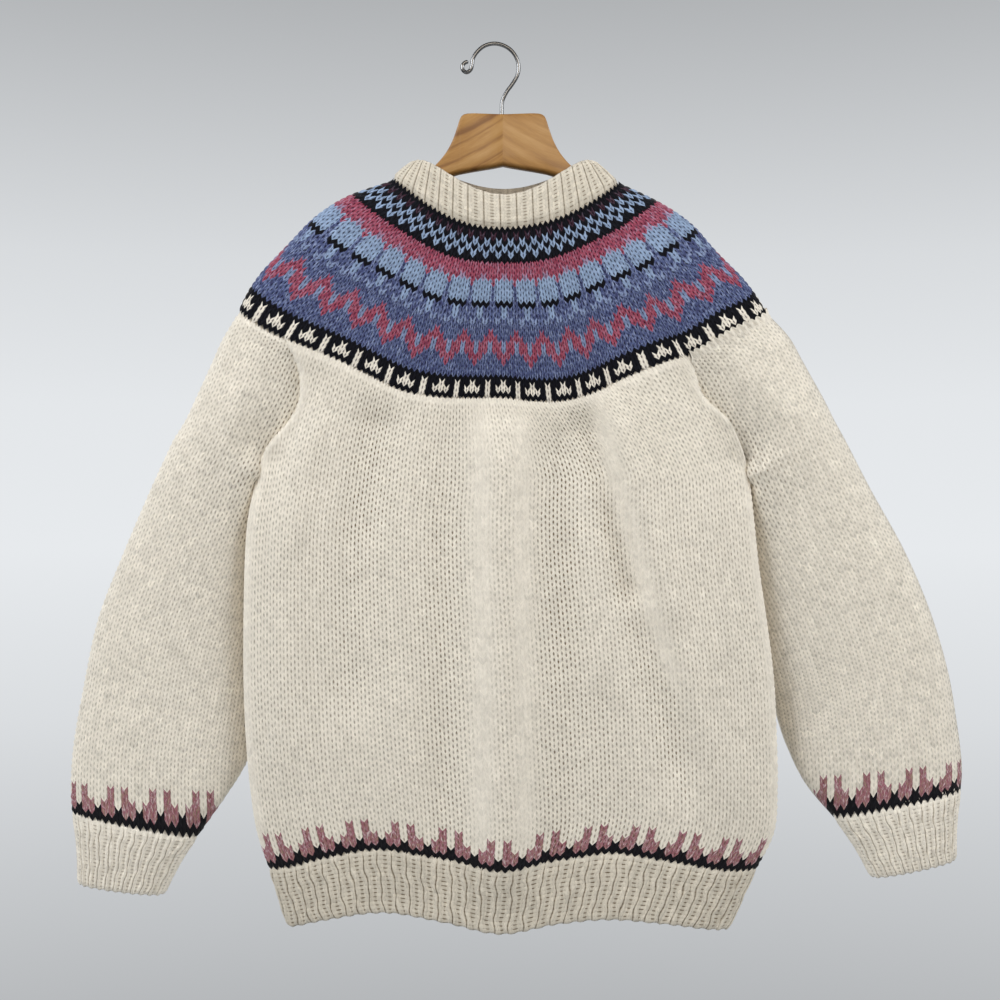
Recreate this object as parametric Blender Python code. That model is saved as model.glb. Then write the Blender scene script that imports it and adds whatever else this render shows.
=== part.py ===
"""Nordic yoke sweater on a wooden clothes hanger.

Frame: the origin is where the hook bears on its rail, +Z is up, +X is to the right of
someone who looks at the front, and the front faces -Y.  Sizes are in millimetres and
become metres in one place, where a mesh is made.
"""

import math

import bmesh
import bpy
import numpy as np

MM = 0.001

# ---------------------------------------------------------------- driving sizes (mm)
WALL = 3.0            # plain knitted cloth
RIB_RISE = 1.5        # height of a rib over the cloth between the ribs
SEAM = 0.3            # gap between two pieces that are knitted together
REPEATS = 34          # repeats of the yoke pattern round the yoke
HEM_RIBS = 69
CUFF_RIBS = 23
COLLAR_RIBS = 34

YOKE_FRONT_DEPTH = 37.0   # front of the yoke before the shoulder line
YOKE_BACK_DEPTH = 29.0    # back of the yoke behind it
YOKE_ROWS = 8
RIDGE = 0.38              # how blunt the cloth lies over the hanger
BACK_NECK_DROP = 0.62     # sag of the back neck as a share of the front's
BACK_EDGE_DROP = 0.88

ARM_LEFT = 2.0            # repeat where the left front armhole crease starts
ARM_RIGHT = 15.0          # repeat where the right one starts

BODY_HALF = 26            # columns over the front, and over the back
UPPER_ROWS = 6            # rows between the yoke and the underarm, and columns of a sleeve on one crease
SLEEVE_OVER = 4           # columns of half a sleeve that start on the yoke
RIB_COLUMNS = 4

HOOK_WIRE = 1.9           # radius of the hook's wire
HANGER_CENTRE = 10.6      # x of the hanger's middle
HANGER_CREST = -4.0       # y of the crest where its two arms meet

# Yoke, a row each half repeat of the pattern from the left shoulder over the front to the right.
# repeat, neck x, neck z, edge x, edge z
YOKE_FRONT = (
    (0.0, -97.0, -132.4, -244.4, -257.5),
    (0.5, -94.6, -134.8, -240.7, -261.8),
    (1.5, -84.9, -143.1, -212.2, -280.4),
    (2.5, -73.1, -152.7, -180.2, -294.2),
    (3.5, -60.6, -162.0, -147.7, -307.3),
    (4.5, -47.3, -170.4, -116.1, -323.1),
    (5.5, -33.2, -177.2, -84.8, -337.6),
    (6.5, -18.4, -181.9, -50.0, -343.7),
    (7.5, -3.1, -184.5, -19.8, -344.5),
    (8.5, 12.4, -185.1, 10.7, -344.4),
    (9.5, 27.9, -184.0, 39.2, -347.7),
    (10.5, 43.2, -181.3, 69.6, -347.0),
    (11.5, 58.2, -177.1, 98.1, -338.7),
    (12.5, 72.7, -171.3, 126.8, -325.1),
    (13.5, 86.6, -164.1, 166.6, -309.2),
    (14.5, 99.8, -155.8, 195.9, -300.3),
    (15.5, 112.1, -146.7, 229.9, -280.4),
    (16.5, 121.7, -138.5, 261.5, -266.1),
    (17.0, 124.2, -134.8, 265.8, -259.9),
)

# Shoulder line: how far it bulges off the straight from neck to edge.
# share of the way, left out, left up, right out, right up
SHOULDER = (
    (0.0, 0.0, 0.0, 0.0, 0.0),
    (0.1, 4.7, 6.8, 3.6, 4.9),
    (0.2, 9.2, 12.8, 6.9, 9.0),
    (0.4, 13.9, 17.3, 11.0, 12.8),
    (0.6, 12.5, 13.7, 8.3, 9.4),
    (0.8, 10.1, 9.5, 6.7, 7.1),
    (0.9, 6.2, 5.6, 4.1, 4.1),
    (1.0, 0.0, 0.0, 0.0, 0.0),
)

# Armhole creases from the yoke down to the underarm.
# share of the way, left x, right x, left z, right z, front y, back y
CREASE = (
    (0.00, -190.2, 204.5, -285.3, -289.0, -26.5, 20.8),
    (0.25, -180.5, 198.7, -318.2, -313.4, -22.0, 17.5),
    (0.50, -184.5, 205.5, -348.2, -341.6, -19.0, 13.0),
    (0.68, -199.0, 223.0, -369.5, -360.5, -18.0, 9.5),
    (0.82, -213.6, 236.5, -384.0, -378.5, -17.0, 6.5),
    (0.93, -223.6, 244.2, -402.0, -398.0, -14.5, 3.0),
    (1.00, -228.2, 249.0, -420.5, -420.5, -6.0, -6.0),
)

# Body below the underarm, a row for each level.
# side z, left x, right x, side y, front y, back y, share of the hem's waves
BODY = (
    (-420.5, -228.0, 248.8, -6.0, -41.0, 27.0, 0.00),
    (-459.0, -234.0, 251.5, -15.0, -42.0, 27.0, 0.05),
    (-503.0, -236.6, 255.8, -16.5, -42.5, 27.0, 0.12),
    (-557.0, -237.6, 263.5, -17.0, -43.0, 27.0, 0.22),
    (-610.0, -237.6, 270.0, -17.0, -43.0, 27.0, 0.36),
    (-663.0, -235.6, 272.6, -17.0, -42.5, 26.5, 0.52),
    (-712.0, -231.6, 273.6, -16.5, -42.0, 26.0, 0.70),
    (-756.0, -225.0, 270.5, -16.0, -41.0, 25.0, 0.88),
    (-793.0, -213.0, 252.6, -15.0, -40.0, 24.0, 1.00),
)
HEM_END = (-850.5, -196.0, 227.0, -13.0, -37.0, 21.0, 1.00)

# Waves of the front hem; the back has the same ones the other way round.
# x, lift at the top of the rib, lift at its end, move to the front
HEM_WAVES = (
    (-240.0, 0.0, 0.0, 0.0),
    (-205.0, 1.0, 1.0, 0.0),
    (-160.0, 13.0, 12.0, -1.5),
    (-103.0, 22.0, 20.0, -5.0),
    (-46.0, 14.0, 13.0, 0.0),
    (9.0, 7.0, 4.0, 6.0),
    (60.0, 12.0, 11.0, 0.0),
    (108.0, 18.0, 14.0, -4.0),
    (165.0, 12.0, 10.0, 0.0),
    (225.0, 1.0, 1.0, 1.0),
    (275.0, 0.0, 0.0, 0.0),
)

# Largest folds, ridges over zero and troughs under it.
# x and z of the upper end, x and z of the lower end, half width, height
FRONT_FOLDS = (
    (9.0, -390.0, 6.0, -600.0, 15.0, 4.5),
    (6.0, -600.0, 10.0, -790.0, 16.0, 6.5),
    (38.0, -420.0, 36.0, -700.0, 13.0, -2.6),
    (104.0, -370.0, 140.0, -500.0, 14.0, 3.6),
    (140.0, -500.0, 180.0, -640.0, 17.0, 4.2),
    (78.0, -400.0, 118.0, -560.0, 13.0, -3.4),
    (-112.0, -372.0, -132.0, -500.0, 15.0, -3.8),
    (-150.0, -360.0, -165.0, -520.0, 14.0, 3.2),
    (185.0, -380.0, 205.0, -520.0, 12.0, -3.2),
)
BACK_FOLDS = (
    (-20.0, -390.0, -14.0, -620.0, 16.0, 5.0),
    (-14.0, -620.0, -8.0, -790.0, 17.0, 6.0),
    (95.0, -380.0, 130.0, -560.0, 15.0, -3.6),
    (-96.0, -380.0, -138.0, -560.0, 15.0, -3.8),
    (150.0, -420.0, 165.0, -640.0, 16.0, 3.6),
)

# Sleeves below the armhole, a row for each section across one.
# outer x, outer z, inner x, inner z, middle y, half depth, inner side to the back
SLEEVE_LEFT = (
    (-295.8, -361.8, -232.5, -431.0, 0.0, 23.0, 2.0),
    (-331.7, -431.6, -231.5, -483.0, 4.0, 25.0, 8.0),
    (-359.9, -495.7, -232.5, -546.0, 7.0, 25.5, 9.0),
    (-383.1, -555.8, -231.0, -599.5, 8.0, 25.0, 8.0),
    (-397.7, -623.7, -231.0, -650.9, 8.0, 24.0, 6.0),
    (-406.4, -677.1, -238.6, -691.6, 6.0, 22.5, 3.0),
    (-408.4, -715.9, -258.0, -725.6, 4.0, 20.5, 0.0),
    (-406.4, -743.0, -287.1, -767.3, 2.0, 18.0, 0.0),
)
SLEEVE_RIGHT = (
    (327.9, -356.9, 255.0, -431.0, 0.0, 23.0, 2.0),
    (367.6, -429.7, 249.5, -485.0, 4.0, 25.0, 8.0),
    (400.6, -487.9, 254.0, -548.0, 7.0, 25.5, 9.0),
    (425.8, -546.1, 261.0, -602.4, 8.0, 25.0, 8.0),
    (443.3, -604.3, 275.5, -638.3, 8.0, 24.0, 6.0),
    (452.0, -657.7, 286.1, -674.1, 6.0, 22.5, 3.0),
    (455.9, -696.5, 304.6, -713.9, 4.0, 20.5, 0.0),
    (454.0, -721.7, 332.7, -747.9, 2.0, 18.0, 0.0),
)
# Cuff ends, the same columns
CUFF_LEFT = (-400.6, -810.9, -318.5, -821.6, 1.0, 13.5, 0.0)
CUFF_RIGHT = (449.1, -787.7, 368.6, -805.1, 1.0, 13.5, 0.0)

# Hanger, a row for each section of one arm.
# distance from the middle, top z, bottom z, move to the back, half thickness
ARM = (
    (0.0, -66.6, -117.0, 0.0, 7.0),
    (30.0, -66.6, -122.0, 1.0, 7.0),
    (37.5, -67.2, -123.3, 1.3, 7.0),
    (41.5, -70.8, -124.0, 1.4, 7.0),
    (46.5, -86.0, -125.4, 1.6, 7.0),
    (53.0, -101.0, -127.4, 1.8, 7.0),
    (63.0, -113.8, -130.8, 2.1, 7.2),
    (75.0, -124.4, -138.0, 2.5, 7.4),
    (90.0, -135.0, -150.0, 3.0, 7.8),
    (104.0, -143.4, -160.0, 3.4, 8.2),
    (130.0, -155.0, -180.0, 4.0, 9.0),
    (158.0, -169.5, -200.0, 4.4, 9.6),
    (184.0, -190.0, -216.0, 4.6, 10.0),
    (205.0, -212.0, -228.0, 4.6, 9.0),
)

# Hook's centre line: x, z
HOOK = (
    (9.9, -78.0),
    (9.9, -70.0),
    (9.9, -62.0),
    (9.9, -54.0),
    (12.6, -46.0),
    (20.6, -37.6),
    (25.6, -28.6),
    (25.6, -17.0),
    (19.8, -6.0),
    (10.6, 0.2),
    (0.0, 1.9),
    (-10.6, -1.0),
    (-18.4, -7.8),
    (-23.2, -15.4),
    (-27.2, -22.6),
    (-26.4, -27.2),
    (-22.0, -28.6),
    (-18.2, -26.0),
    (-18.6, -21.6),
)


# ---------------------------------------------------------------- curves and tables
def column(table, index):
    """One column of a table."""
    return np.array([row[index] for row in table], dtype=float)


def smooth(knots, values, x):
    """A smooth curve through the rows of a table, flat enough not to overshoot them much."""
    knots = np.asarray(knots, dtype=float)
    values = np.asarray(values, dtype=float)
    x = np.clip(np.asarray(x, dtype=float), knots[0], knots[-1])
    slope = np.gradient(values, knots)
    k = np.clip(np.searchsorted(knots, x, side="right") - 1, 0, len(knots) - 2)
    h = knots[k + 1] - knots[k]
    u = (x - knots[k]) / h
    a = values[k] * (1 + 2 * u) * (1 - u) ** 2
    b = h * slope[k] * u * (1 - u) ** 2
    c = values[k + 1] * u * u * (3 - 2 * u)
    d = h * slope[k + 1] * u * u * (u - 1)
    return a + b + c + d


def look(table, index, x):
    """A column of a table, read smoothly at x in its first column."""
    return smooth(column(table, 0), column(table, index), x)


def unit(v):
    """Vectors made one long."""
    return v / np.maximum(np.linalg.norm(v, axis=-1, keepdims=True), 1e-9)


def stack(x, y, z):
    """Three arrays as points."""
    return np.stack(np.broadcast_arrays(x, y, z), axis=-1)


# ---------------------------------------------------------------- meshes
def material(name, rgb, roughness, metallic=0.0):
    """A plain finish."""
    mat = bpy.data.materials.new(name)
    mat.use_nodes = True
    bsdf = mat.node_tree.nodes["Principled BSDF"]
    bsdf.inputs["Base Color"].default_value = (*rgb, 1.0)
    bsdf.inputs["Roughness"].default_value = roughness
    bsdf.inputs["Metallic"].default_value = metallic
    return mat


def add_mesh(name, points, faces, mat):
    """A closed solid from its points and faces."""
    mesh = bpy.data.meshes.new(name)
    mesh.from_pydata((points * MM).tolist(), [], [list(map(int, f)) for f in faces])
    work = bmesh.new()
    work.from_mesh(mesh)
    bmesh.ops.recalc_face_normals(work, faces=work.faces)
    if work.calc_volume(signed=True) < 0:
        bmesh.ops.reverse_faces(work, faces=work.faces)
    work.to_mesh(mesh)
    work.free()
    mesh.materials.append(mat)
    mesh.polygons.foreach_set("use_smooth", [True] * len(mesh.polygons))
    obj = bpy.data.objects.new(name, mesh)
    sweater.objects.link(obj)
    return obj


def shell(name, outer, inner, faces, mat):
    """A wall: outer faces, the same ones inside, and a rim along each free edge."""
    count = len(outer)
    uses = {}
    for face in faces:
        for a, b in zip(face, face[1:] + face[:1]):
            key = (min(a, b), max(a, b))
            uses[key] = uses.get(key, 0) + 1
    halves = [[f[0], f[1], f[2]] for f in faces] + [[f[0], f[2], f[3]] for f in faces]
    solid = halves + [[i + count for i in reversed(half)] for half in halves]
    for (a, b), times in uses.items():
        if times == 1:
            solid.append([a, b, b + count, a + count])
    return add_mesh(name, np.vstack([outer, inner]), solid, mat)


def vertex_normals(points, faces):
    """Mean of the normals round each point."""
    normals = np.zeros_like(points)
    quads = np.array(faces)
    across = np.cross(points[quads[:, 2]] - points[quads[:, 0]], points[quads[:, 3]] - points[quads[:, 1]])
    for corner in range(4):
        np.add.at(normals, quads[:, corner], across)
    return unit(normals)


def ring_out(ring, axis, reach=1):
    """Outward direction at each point of a closed ring, square to an axis."""
    along = np.roll(ring, -reach, axis=0) - np.roll(ring, reach, axis=0)
    out = unit(np.cross(along, np.asarray(axis, dtype=float)))
    if np.sum((ring - ring.mean(axis=0)) * out) < 0:
        out = -out
    return out


def ring_faces(rows, columns):
    """Faces of a tube of closed rings."""
    faces = []
    for r in range(rows - 1):
        for c in range(columns):
            d = (c + 1) % columns
            faces.append([r * columns + c, r * columns + d, (r + 1) * columns + d, (r + 1) * columns + c])
    return faces


# ---------------------------------------------------------------- the yoke's surface
def fold_back(repeat):
    """Repeat counted from the left shoulder, the same on the front and on the back."""
    repeat = np.mod(repeat, REPEATS)
    return np.where(repeat <= REPEATS / 2, repeat, REPEATS - repeat)


def yoke_point(repeat, share):
    """Outer point of the yoke, at a repeat round it and a share of the way from neck to edge."""
    repeat = np.mod(np.asarray(repeat, dtype=float), REPEATS)
    share = np.asarray(share, dtype=float)
    side = fold_back(repeat)
    back = repeat > REPEATS / 2
    half = REPEATS / 2
    across = side / half
    neck_x = look(YOKE_FRONT, 1, side)
    neck_z = look(YOKE_FRONT, 2, side)
    edge_x = look(YOKE_FRONT, 3, side)
    edge_z = look(YOKE_FRONT, 4, side)
    neck_line = YOKE_FRONT[0][2] + (YOKE_FRONT[-1][2] - YOKE_FRONT[0][2]) * across
    edge_line = YOKE_FRONT[0][4] + (YOKE_FRONT[-1][4] - YOKE_FRONT[0][4]) * across
    neck_z = np.where(back, neck_line + (neck_z - neck_line) * BACK_NECK_DROP, neck_z)
    edge_z = np.where(back, edge_line + (edge_z - edge_line) * BACK_EDGE_DROP, edge_z)
    near_left = np.exp(-side / 1.7)
    near_right = np.exp(-(half - side) / 1.7)
    x = neck_x + (edge_x - neck_x) * share
    z = neck_z + (edge_z - neck_z) * share
    x = x - look(SHOULDER, 1, share) * near_left + look(SHOULDER, 3, share) * near_right
    z = z + look(SHOULDER, 2, share) * near_left + look(SHOULDER, 4, share) * near_right
    q = np.clip(1 - (1 - 2 * across) ** 2, 0, 1) ** RIDGE
    depth = np.where(back, YOKE_BACK_DEPTH, -YOKE_FRONT_DEPTH)
    belly = 1 + 0.05 * np.sin(math.pi * np.clip(share, 0, 1))
    return stack(x, depth * q * belly, z)


def yoke_inward(repeat, share):
    """Direction through the yoke's wall, from its outside in."""
    repeat = np.asarray(repeat, dtype=float)
    low = np.clip(np.asarray(share, dtype=float) - 0.03, 0, 0.94)
    along = yoke_point(repeat, low + 0.06) - yoke_point(repeat, low)
    round_it = yoke_point(repeat + 0.4, share) - yoke_point(repeat - 0.4, share)
    return unit(np.cross(round_it, along))


def build_yoke(mat):
    """The patterned yoke, from the collar to the body and the sleeves."""
    columns = REPEATS * 2
    repeat = np.arange(columns) * 0.5
    shares = np.linspace(0.0008, 0.9991, YOKE_ROWS + 1)
    outer = []
    inner = []
    for share in shares:
        points = yoke_point(repeat, share)
        outer.append(points)
        inner.append(points + WALL * yoke_inward(repeat, share))
    faces = ring_faces(YOKE_ROWS + 1, columns)
    return shell("yoke", np.vstack(outer), np.vstack(inner), faces, mat)


# ---------------------------------------------------------------- the body's surface
def fold_lift(table, x, z):
    """How far the folds of a table lift the cloth, in millimetres."""
    lift = np.zeros(np.broadcast(x, z).shape)
    for x0, z0, x1, z1, width, height in table:
        length = math.hypot(x1 - x0, z1 - z0)
        dx = (x1 - x0) / length
        dz = (z1 - z0) / length
        along = ((x - x0) * dx + (z - z0) * dz) / length
        off = (x - x0) * dz - (z - z0) * dx
        ends = np.clip(np.minimum(along + 0.18, 1.18 - along) / 0.36, 0, 1)
        lift = lift + height * ends * ends * (3 - 2 * ends) * np.exp(-((off / width) ** 2))
    return lift


def body_level(row, s, back, end=0):
    """Half a section of the body from its left side to its right, at a level of the table."""
    z0, left, right, side_y, front_y, back_y, waves = row
    sigma = 2 * s - 1
    xi = 0.68 * sigma + 0.32 * np.sin(sigma * math.pi / 2)
    x = (left + right) / 2 + xi * (right - left) / 2
    if back:
        y = side_y + (back_y - side_y) * np.clip(1 - np.abs(xi) ** 3.0, 0, 1) ** 0.58
    else:
        y = side_y + (front_y - side_y) * np.clip(1 - np.abs(xi) ** 3.4, 0, 1) ** 0.5
    mirror = left + right - x if back else x
    z = z0 + waves * look(HEM_WAVES, 1 + end, mirror) * (0.8 if back else 1.0)
    push = waves * look(HEM_WAVES, 3, mirror)
    flat = np.clip((1 - np.abs(xi)) / 0.12, 0, 1)
    lift = fold_lift(BACK_FOLDS if back else FRONT_FOLDS, x, z) * flat
    y = y + (push + lift) * (0.8 if back else -1.0)
    return stack(x, y, z)


def crease_point(left_side, share, back, inset):
    """Point on an armhole crease, set off its middle line by half the seam."""
    x = look(CREASE, 1 if left_side else 2, share)
    z = look(CREASE, 3 if left_side else 4, share)
    y = look(CREASE, 6 if back else 5, share)
    return stack(x + (inset if left_side else -inset), y, z)


def crease_start(left_side, back, share=1.0009):
    """Where a crease leaves the yoke."""
    repeat = ARM_LEFT if left_side else ARM_RIGHT
    return yoke_point(REPEATS - repeat if back else repeat, share)


def crease_line(left_side, share, back, inset):
    """The crease, drawn so that it starts on the yoke's edge."""
    base = crease_point(left_side, share, back, inset)
    miss = crease_start(left_side, back) - crease_point(left_side, np.array(0.0), back, inset)
    shift = np.array([inset if left_side else -inset, 0.0, 0.0])
    weight = np.clip(1 - share / 0.5, 0, 1)[..., None] ** 2
    return base + (miss + shift) * weight


def crease_inward(left_side, share, back, into_body):
    """Direction through the wall along a crease, shared by the body and the sleeve."""
    repeat = ARM_LEFT if left_side else ARM_RIGHT
    top = yoke_inward(REPEATS - repeat if back else repeat, 1.0)
    middle = np.array([0.0, -1.0 if back else 1.0, 0.0])
    outward = 1.0 if left_side == into_body else -1.0
    low = unit(np.array([outward, 0.0, 0.0 if into_body else 0.8]))
    a = np.clip(share / 0.3, 0, 1)[..., None]
    b = np.clip((share - 0.86) / 0.14, 0, 1)[..., None]
    return unit((top * (1 - a) + middle * a) * (1 - b) + low * b)


def body_upper(back):
    """The panel between the yoke and the underarm: sides on the creases, top on the yoke's edge."""
    s = np.linspace(0, 1, BODY_HALF + 1)
    repeat = ARM_LEFT + (ARM_RIGHT - ARM_LEFT) * s
    top = yoke_point(REPEATS - repeat if back else repeat, 1.0009)
    bottom = body_level(BODY[0], s, back)
    rows = []
    for r in range(UPPER_ROWS):
        share = np.array(r / UPPER_ROWS)
        mix = top * (1 - share) + bottom * share
        left = crease_line(True, share, back, 0.2) - (top[0] * (1 - share) + bottom[0] * share)
        right = crease_line(False, share, back, 0.2) - (top[-1] * (1 - share) + bottom[-1] * share)
        pull_left = ((1 - s) ** 2.4)[:, None]
        pull_right = (s ** 2.4)[:, None]
        deep = np.array([1.0, 1.0, 1.0])
        points = mix + left * pull_left * deep + right * pull_right * deep
        puff = math.sin(math.pi * float(share)) * np.exp(-(((np.minimum(s, 1 - s) - 0.1) / 0.07) ** 2))
        fade = np.clip(float(share) * 2.5, 0, 1)
        lift = fold_lift(BACK_FOLDS if back else FRONT_FOLDS, points[:, 0], points[:, 2]) * fade
        points[:, 1] += (lift * np.clip(np.minimum(s, 1 - s) / 0.1, 0, 1) + 2.0 * puff) * (1 if back else -1)
        rows.append(points)
    return rows


def build_body(mat):
    """The body tube from the yoke and the armholes to the hem rib."""
    s = np.linspace(0, 1, BODY_HALF + 1)
    grids = []
    for back in (False, True):
        rows = body_upper(back)
        for index, level in enumerate(BODY):
            rows.append(body_level(level, s, back))
        low = rows[-1].copy()
        low[:, 2] += SEAM / 2
        rows[-1] = low
        grids.append(rows)
    total = len(grids[0])
    wide = BODY_HALF + 1
    points = []
    index = np.zeros((2, total, wide), dtype=int)
    for half in (0, 1):
        for r in range(total):
            for c in range(wide):
                shared = half == 1 and r >= UPPER_ROWS and c in (0, wide - 1)
                if shared:
                    index[1, r, c] = index[0, r, c]
                else:
                    index[half, r, c] = len(points)
                    points.append(grids[half][r][c])
    points = np.array(points)
    faces = []
    for half in (0, 1):
        for r in range(total - 1):
            for c in range(wide - 1):
                here = index[half, r, c], index[half, r + 1, c]
                beside = index[half, r + 1, c + 1], index[half, r, c + 1]
                face = [*here, *beside]
                faces.append([int(i) for i in (face if half == 0 else face[::-1])])
    inward = -vertex_normals(points, faces)
    if inward[index[0, -3, wide // 2], 1] < 0:
        inward = -inward
    low_ring = np.concatenate([index[0, -1], index[1, -1, -2:0:-1]])
    inward[low_ring] = -ring_out(points[low_ring], (0, 0, 1))
    for half in (0, 1):
        back = half == 1
        repeat = ARM_LEFT + (ARM_RIGHT - ARM_LEFT) * s
        inward[index[half, 0]] = yoke_inward(REPEATS - repeat if back else repeat, 1.0)
        for r in range(1, UPPER_ROWS + 1):
            share = np.array(r / UPPER_ROWS)
            inward[index[half, r, 0]] = crease_inward(True, share, back, True)
            inward[index[half, r, -1]] = crease_inward(False, share, back, True)
    return shell("body", points, points + WALL * inward, faces, mat)


# ---------------------------------------------------------------- sleeves and cuffs
def sleeve_section(row, turn):
    """Oval across a sleeve; turn 0 is at its inner side, half a turn at its outer one, over the front."""
    outer_x, outer_z, inner_x, inner_z, mid_y, half, behind = row[:7]
    angle = 2 * math.pi * turn
    c = np.cos(angle)
    side = np.sign(c) * np.abs(c) ** 0.86
    deep = np.sign(np.sin(angle)) * np.abs(np.sin(angle)) ** 0.8
    x = (inner_x + outer_x) / 2 + side * (inner_x - outer_x) / 2
    z = (inner_z + outer_z) / 2 + side * (inner_z - outer_z) / 2
    return stack(x, mid_y - half * deep + behind * ((1 + side) / 2) ** 4, z)


def sleeve_top(left_side):
    """The sleeve's upper edge: up the front crease, over the yoke's edge and down the back crease."""
    up = 1 - np.arange(UPPER_ROWS) / UPPER_ROWS
    start = ARM_LEFT if left_side else ARM_RIGHT
    end = 0.0 if left_side else REPEATS / 2
    over = start + (end - start) * np.arange(SLEEVE_OVER + 1) / SLEEVE_OVER
    front = crease_line(left_side, up, False, -0.2)
    back = crease_line(left_side, up, True, -0.2)
    front_over = yoke_point(over, 1.0009)
    back_over = yoke_point(REPEATS - over, 1.0009)
    front_over[0] = crease_line(left_side, np.array(0.0), False, -0.2)
    back_over[0] = crease_line(left_side, np.array(0.0), True, -0.2)
    loop = [front, front_over, back_over[-2::-1], back[:0:-1]]
    ways = [crease_inward(left_side, up, False, False), yoke_inward(over, 1.0)]
    ways += [yoke_inward(REPEATS - over, 1.0)[-2::-1], crease_inward(left_side, up, True, False)[:0:-1]]
    return np.vstack(loop), np.vstack(ways)


def sleeve_ring(row):
    """A section laid out in even columns, from its inner side over the front to its outer one and back."""
    count = UPPER_ROWS + SLEEVE_OVER
    halves = []
    for way in (1, -1):
        fine = sleeve_section(row, way * np.linspace(0.0, 0.5, 120))
        steps = np.linalg.norm(np.diff(fine, axis=0), axis=1)
        length = np.concatenate([[0.0], np.cumsum(steps)])
        at = np.linspace(0.0, length[-1], count + 1)
        halves.append(np.stack([np.interp(at, length, fine[:, k]) for k in range(3)], axis=-1))
    return np.vstack([halves[0], halves[1][-2:0:-1]])


def crease_away(left_side, loop):
    """How the sleeve swells off its creases: square to them, and to the front or the back."""
    count = len(loop)
    swell = np.zeros((count, 3))
    out = -1.0 if left_side else 1.0
    for k in range(1, UPPER_ROWS + 3):
        fade = min(1.0, (UPPER_ROWS + 3 - k) / 4.0) * min(1.0, 0.75 + 0.25 * k)
        for at, front in ((k, -1.0), (count - k, 1.0)):
            step = loop[at] - loop[(at - 1) if front < 0 else (at + 1) % count]
            length = max(1.0, math.hypot(step[0], step[2]))
            square = np.array([abs(step[2]), 0.0, abs(step[0])]) / length
            swell[at] = fade * np.array([out * 8.0 * square[0], front * 5.0, 3.0 * square[2]])
    return swell


def build_sleeve(name, table, end, left_side, mat):
    """A sleeve from its armhole to the cuff."""
    loop, ways = sleeve_top(left_side)
    rings = [loop]
    for row in table:
        rings.append(sleeve_ring(row))
    away = crease_away(left_side, loop)
    between = []
    for share in (0.34, 0.68):
        mix = loop * (1 - share) + rings[1] * share
        between.append(mix + away * math.sin(math.pi * share))
    rings = [loop] + between + rings[1:]
    axis = sleeve_ring(end).mean(axis=0) - rings[-1].mean(axis=0)
    rings[-1] = rings[-1] - axis * (SEAM / 2 / np.linalg.norm(axis))
    columns = len(loop)
    points = np.vstack(rings)
    faces = ring_faces(len(rings), columns)
    inward = vertex_normals(points, faces)
    probe = columns * (len(rings) - 3) + columns // 4
    if inward[probe, 1] < 0:
        inward = -inward
    inward[:columns] = ways
    inward[columns : 2 * columns] = unit(inward[columns : 2 * columns] + ways)
    inward[-columns:] = -ring_out(rings[-1], axis)
    return shell(name, points, points + WALL * inward, faces, mat)


def rib_profile(columns):
    """Height of the ribs round a tube, from 0 to 1."""
    return np.tile(np.array([0.0, 1.0, 1.0, 0.0]), columns // RIB_COLUMNS)


def even_ring(points, columns):
    """A closed ring laid out again with evenly spaced points."""
    closed = np.vstack([points, points[:1]])
    steps = np.linalg.norm(np.diff(closed, axis=0), axis=1)
    way = np.concatenate([[0.0], np.cumsum(steps)])
    at = np.arange(columns) / columns * way[-1]
    return np.stack([np.interp(at, way, closed[:, k]) for k in range(3)], axis=-1)


def ribbed_tube(name, rings, axis, columns, mat, taper):
    """A ribbed band: ribs raised outside, a plain inside."""
    ribs = rib_profile(columns)
    base = [even_ring(ring, columns) for ring in rings]
    faces = ring_faces(len(base), columns)
    points = np.vstack(base)
    out = np.vstack([ring_out(ring, axis, 3) for ring in base])
    rise = np.concatenate([ribs * amount for amount in taper]) * RIB_RISE
    outer = points + out * (rise - RIB_RISE * 0.5)[:, None]
    inner = points - out * WALL
    return shell(name, outer, inner, faces, mat)


def build_hem(mat):
    """The hem rib under the body."""
    s = np.linspace(0, 1, BODY_HALF + 1)
    rings = []
    for row, end, drop in ((BODY[-1], 0, SEAM / 2), (HEM_END, 1, 0.0)):
        front = body_level(row, s, False, end)
        back = body_level(row, s, True, end)
        ring = np.vstack([front, back[-2:0:-1]])
        ring[:, 2] -= drop
        rings.append(ring)
    return ribbed_tube("hem_rib", rings, (0, 0, 1), HEM_RIBS * RIB_COLUMNS, mat, (0.55, 1.0))


def build_cuff(name, table, end, mat):
    """A cuff rib at a sleeve's end."""
    top = sleeve_ring(table[-1])
    bottom = sleeve_ring(end)
    axis = bottom.mean(axis=0) - top.mean(axis=0)
    step = axis * (SEAM / 2 / np.linalg.norm(axis))
    middle = top * 0.5 + bottom * 0.5
    centre = middle.mean(axis=0)
    middle = centre + (middle - centre) * np.array([0.96, 1.0, 0.96])
    columns = CUFF_RIBS * RIB_COLUMNS
    return ribbed_tube(name, [top + step, middle, bottom], axis, columns, mat, (0.5, 1.0, 1.0))


# ---------------------------------------------------------------- collar
def collar_rim(repeat):
    """Top line of the collar, where it folds in."""
    angle = math.pi * np.mod(repeat, REPEATS) / (REPEATS / 2)
    x = 11.4 - 84.0 * np.cos(angle)
    s = np.abs(np.sin(angle))
    back = np.sin(angle) < 0
    z = -111.0 - np.where(back, 21.0, 39.0) * s ** 3.2
    y = np.where(back, 24.0, -33.0) * s ** 0.8
    return stack(x, y, z)


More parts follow.
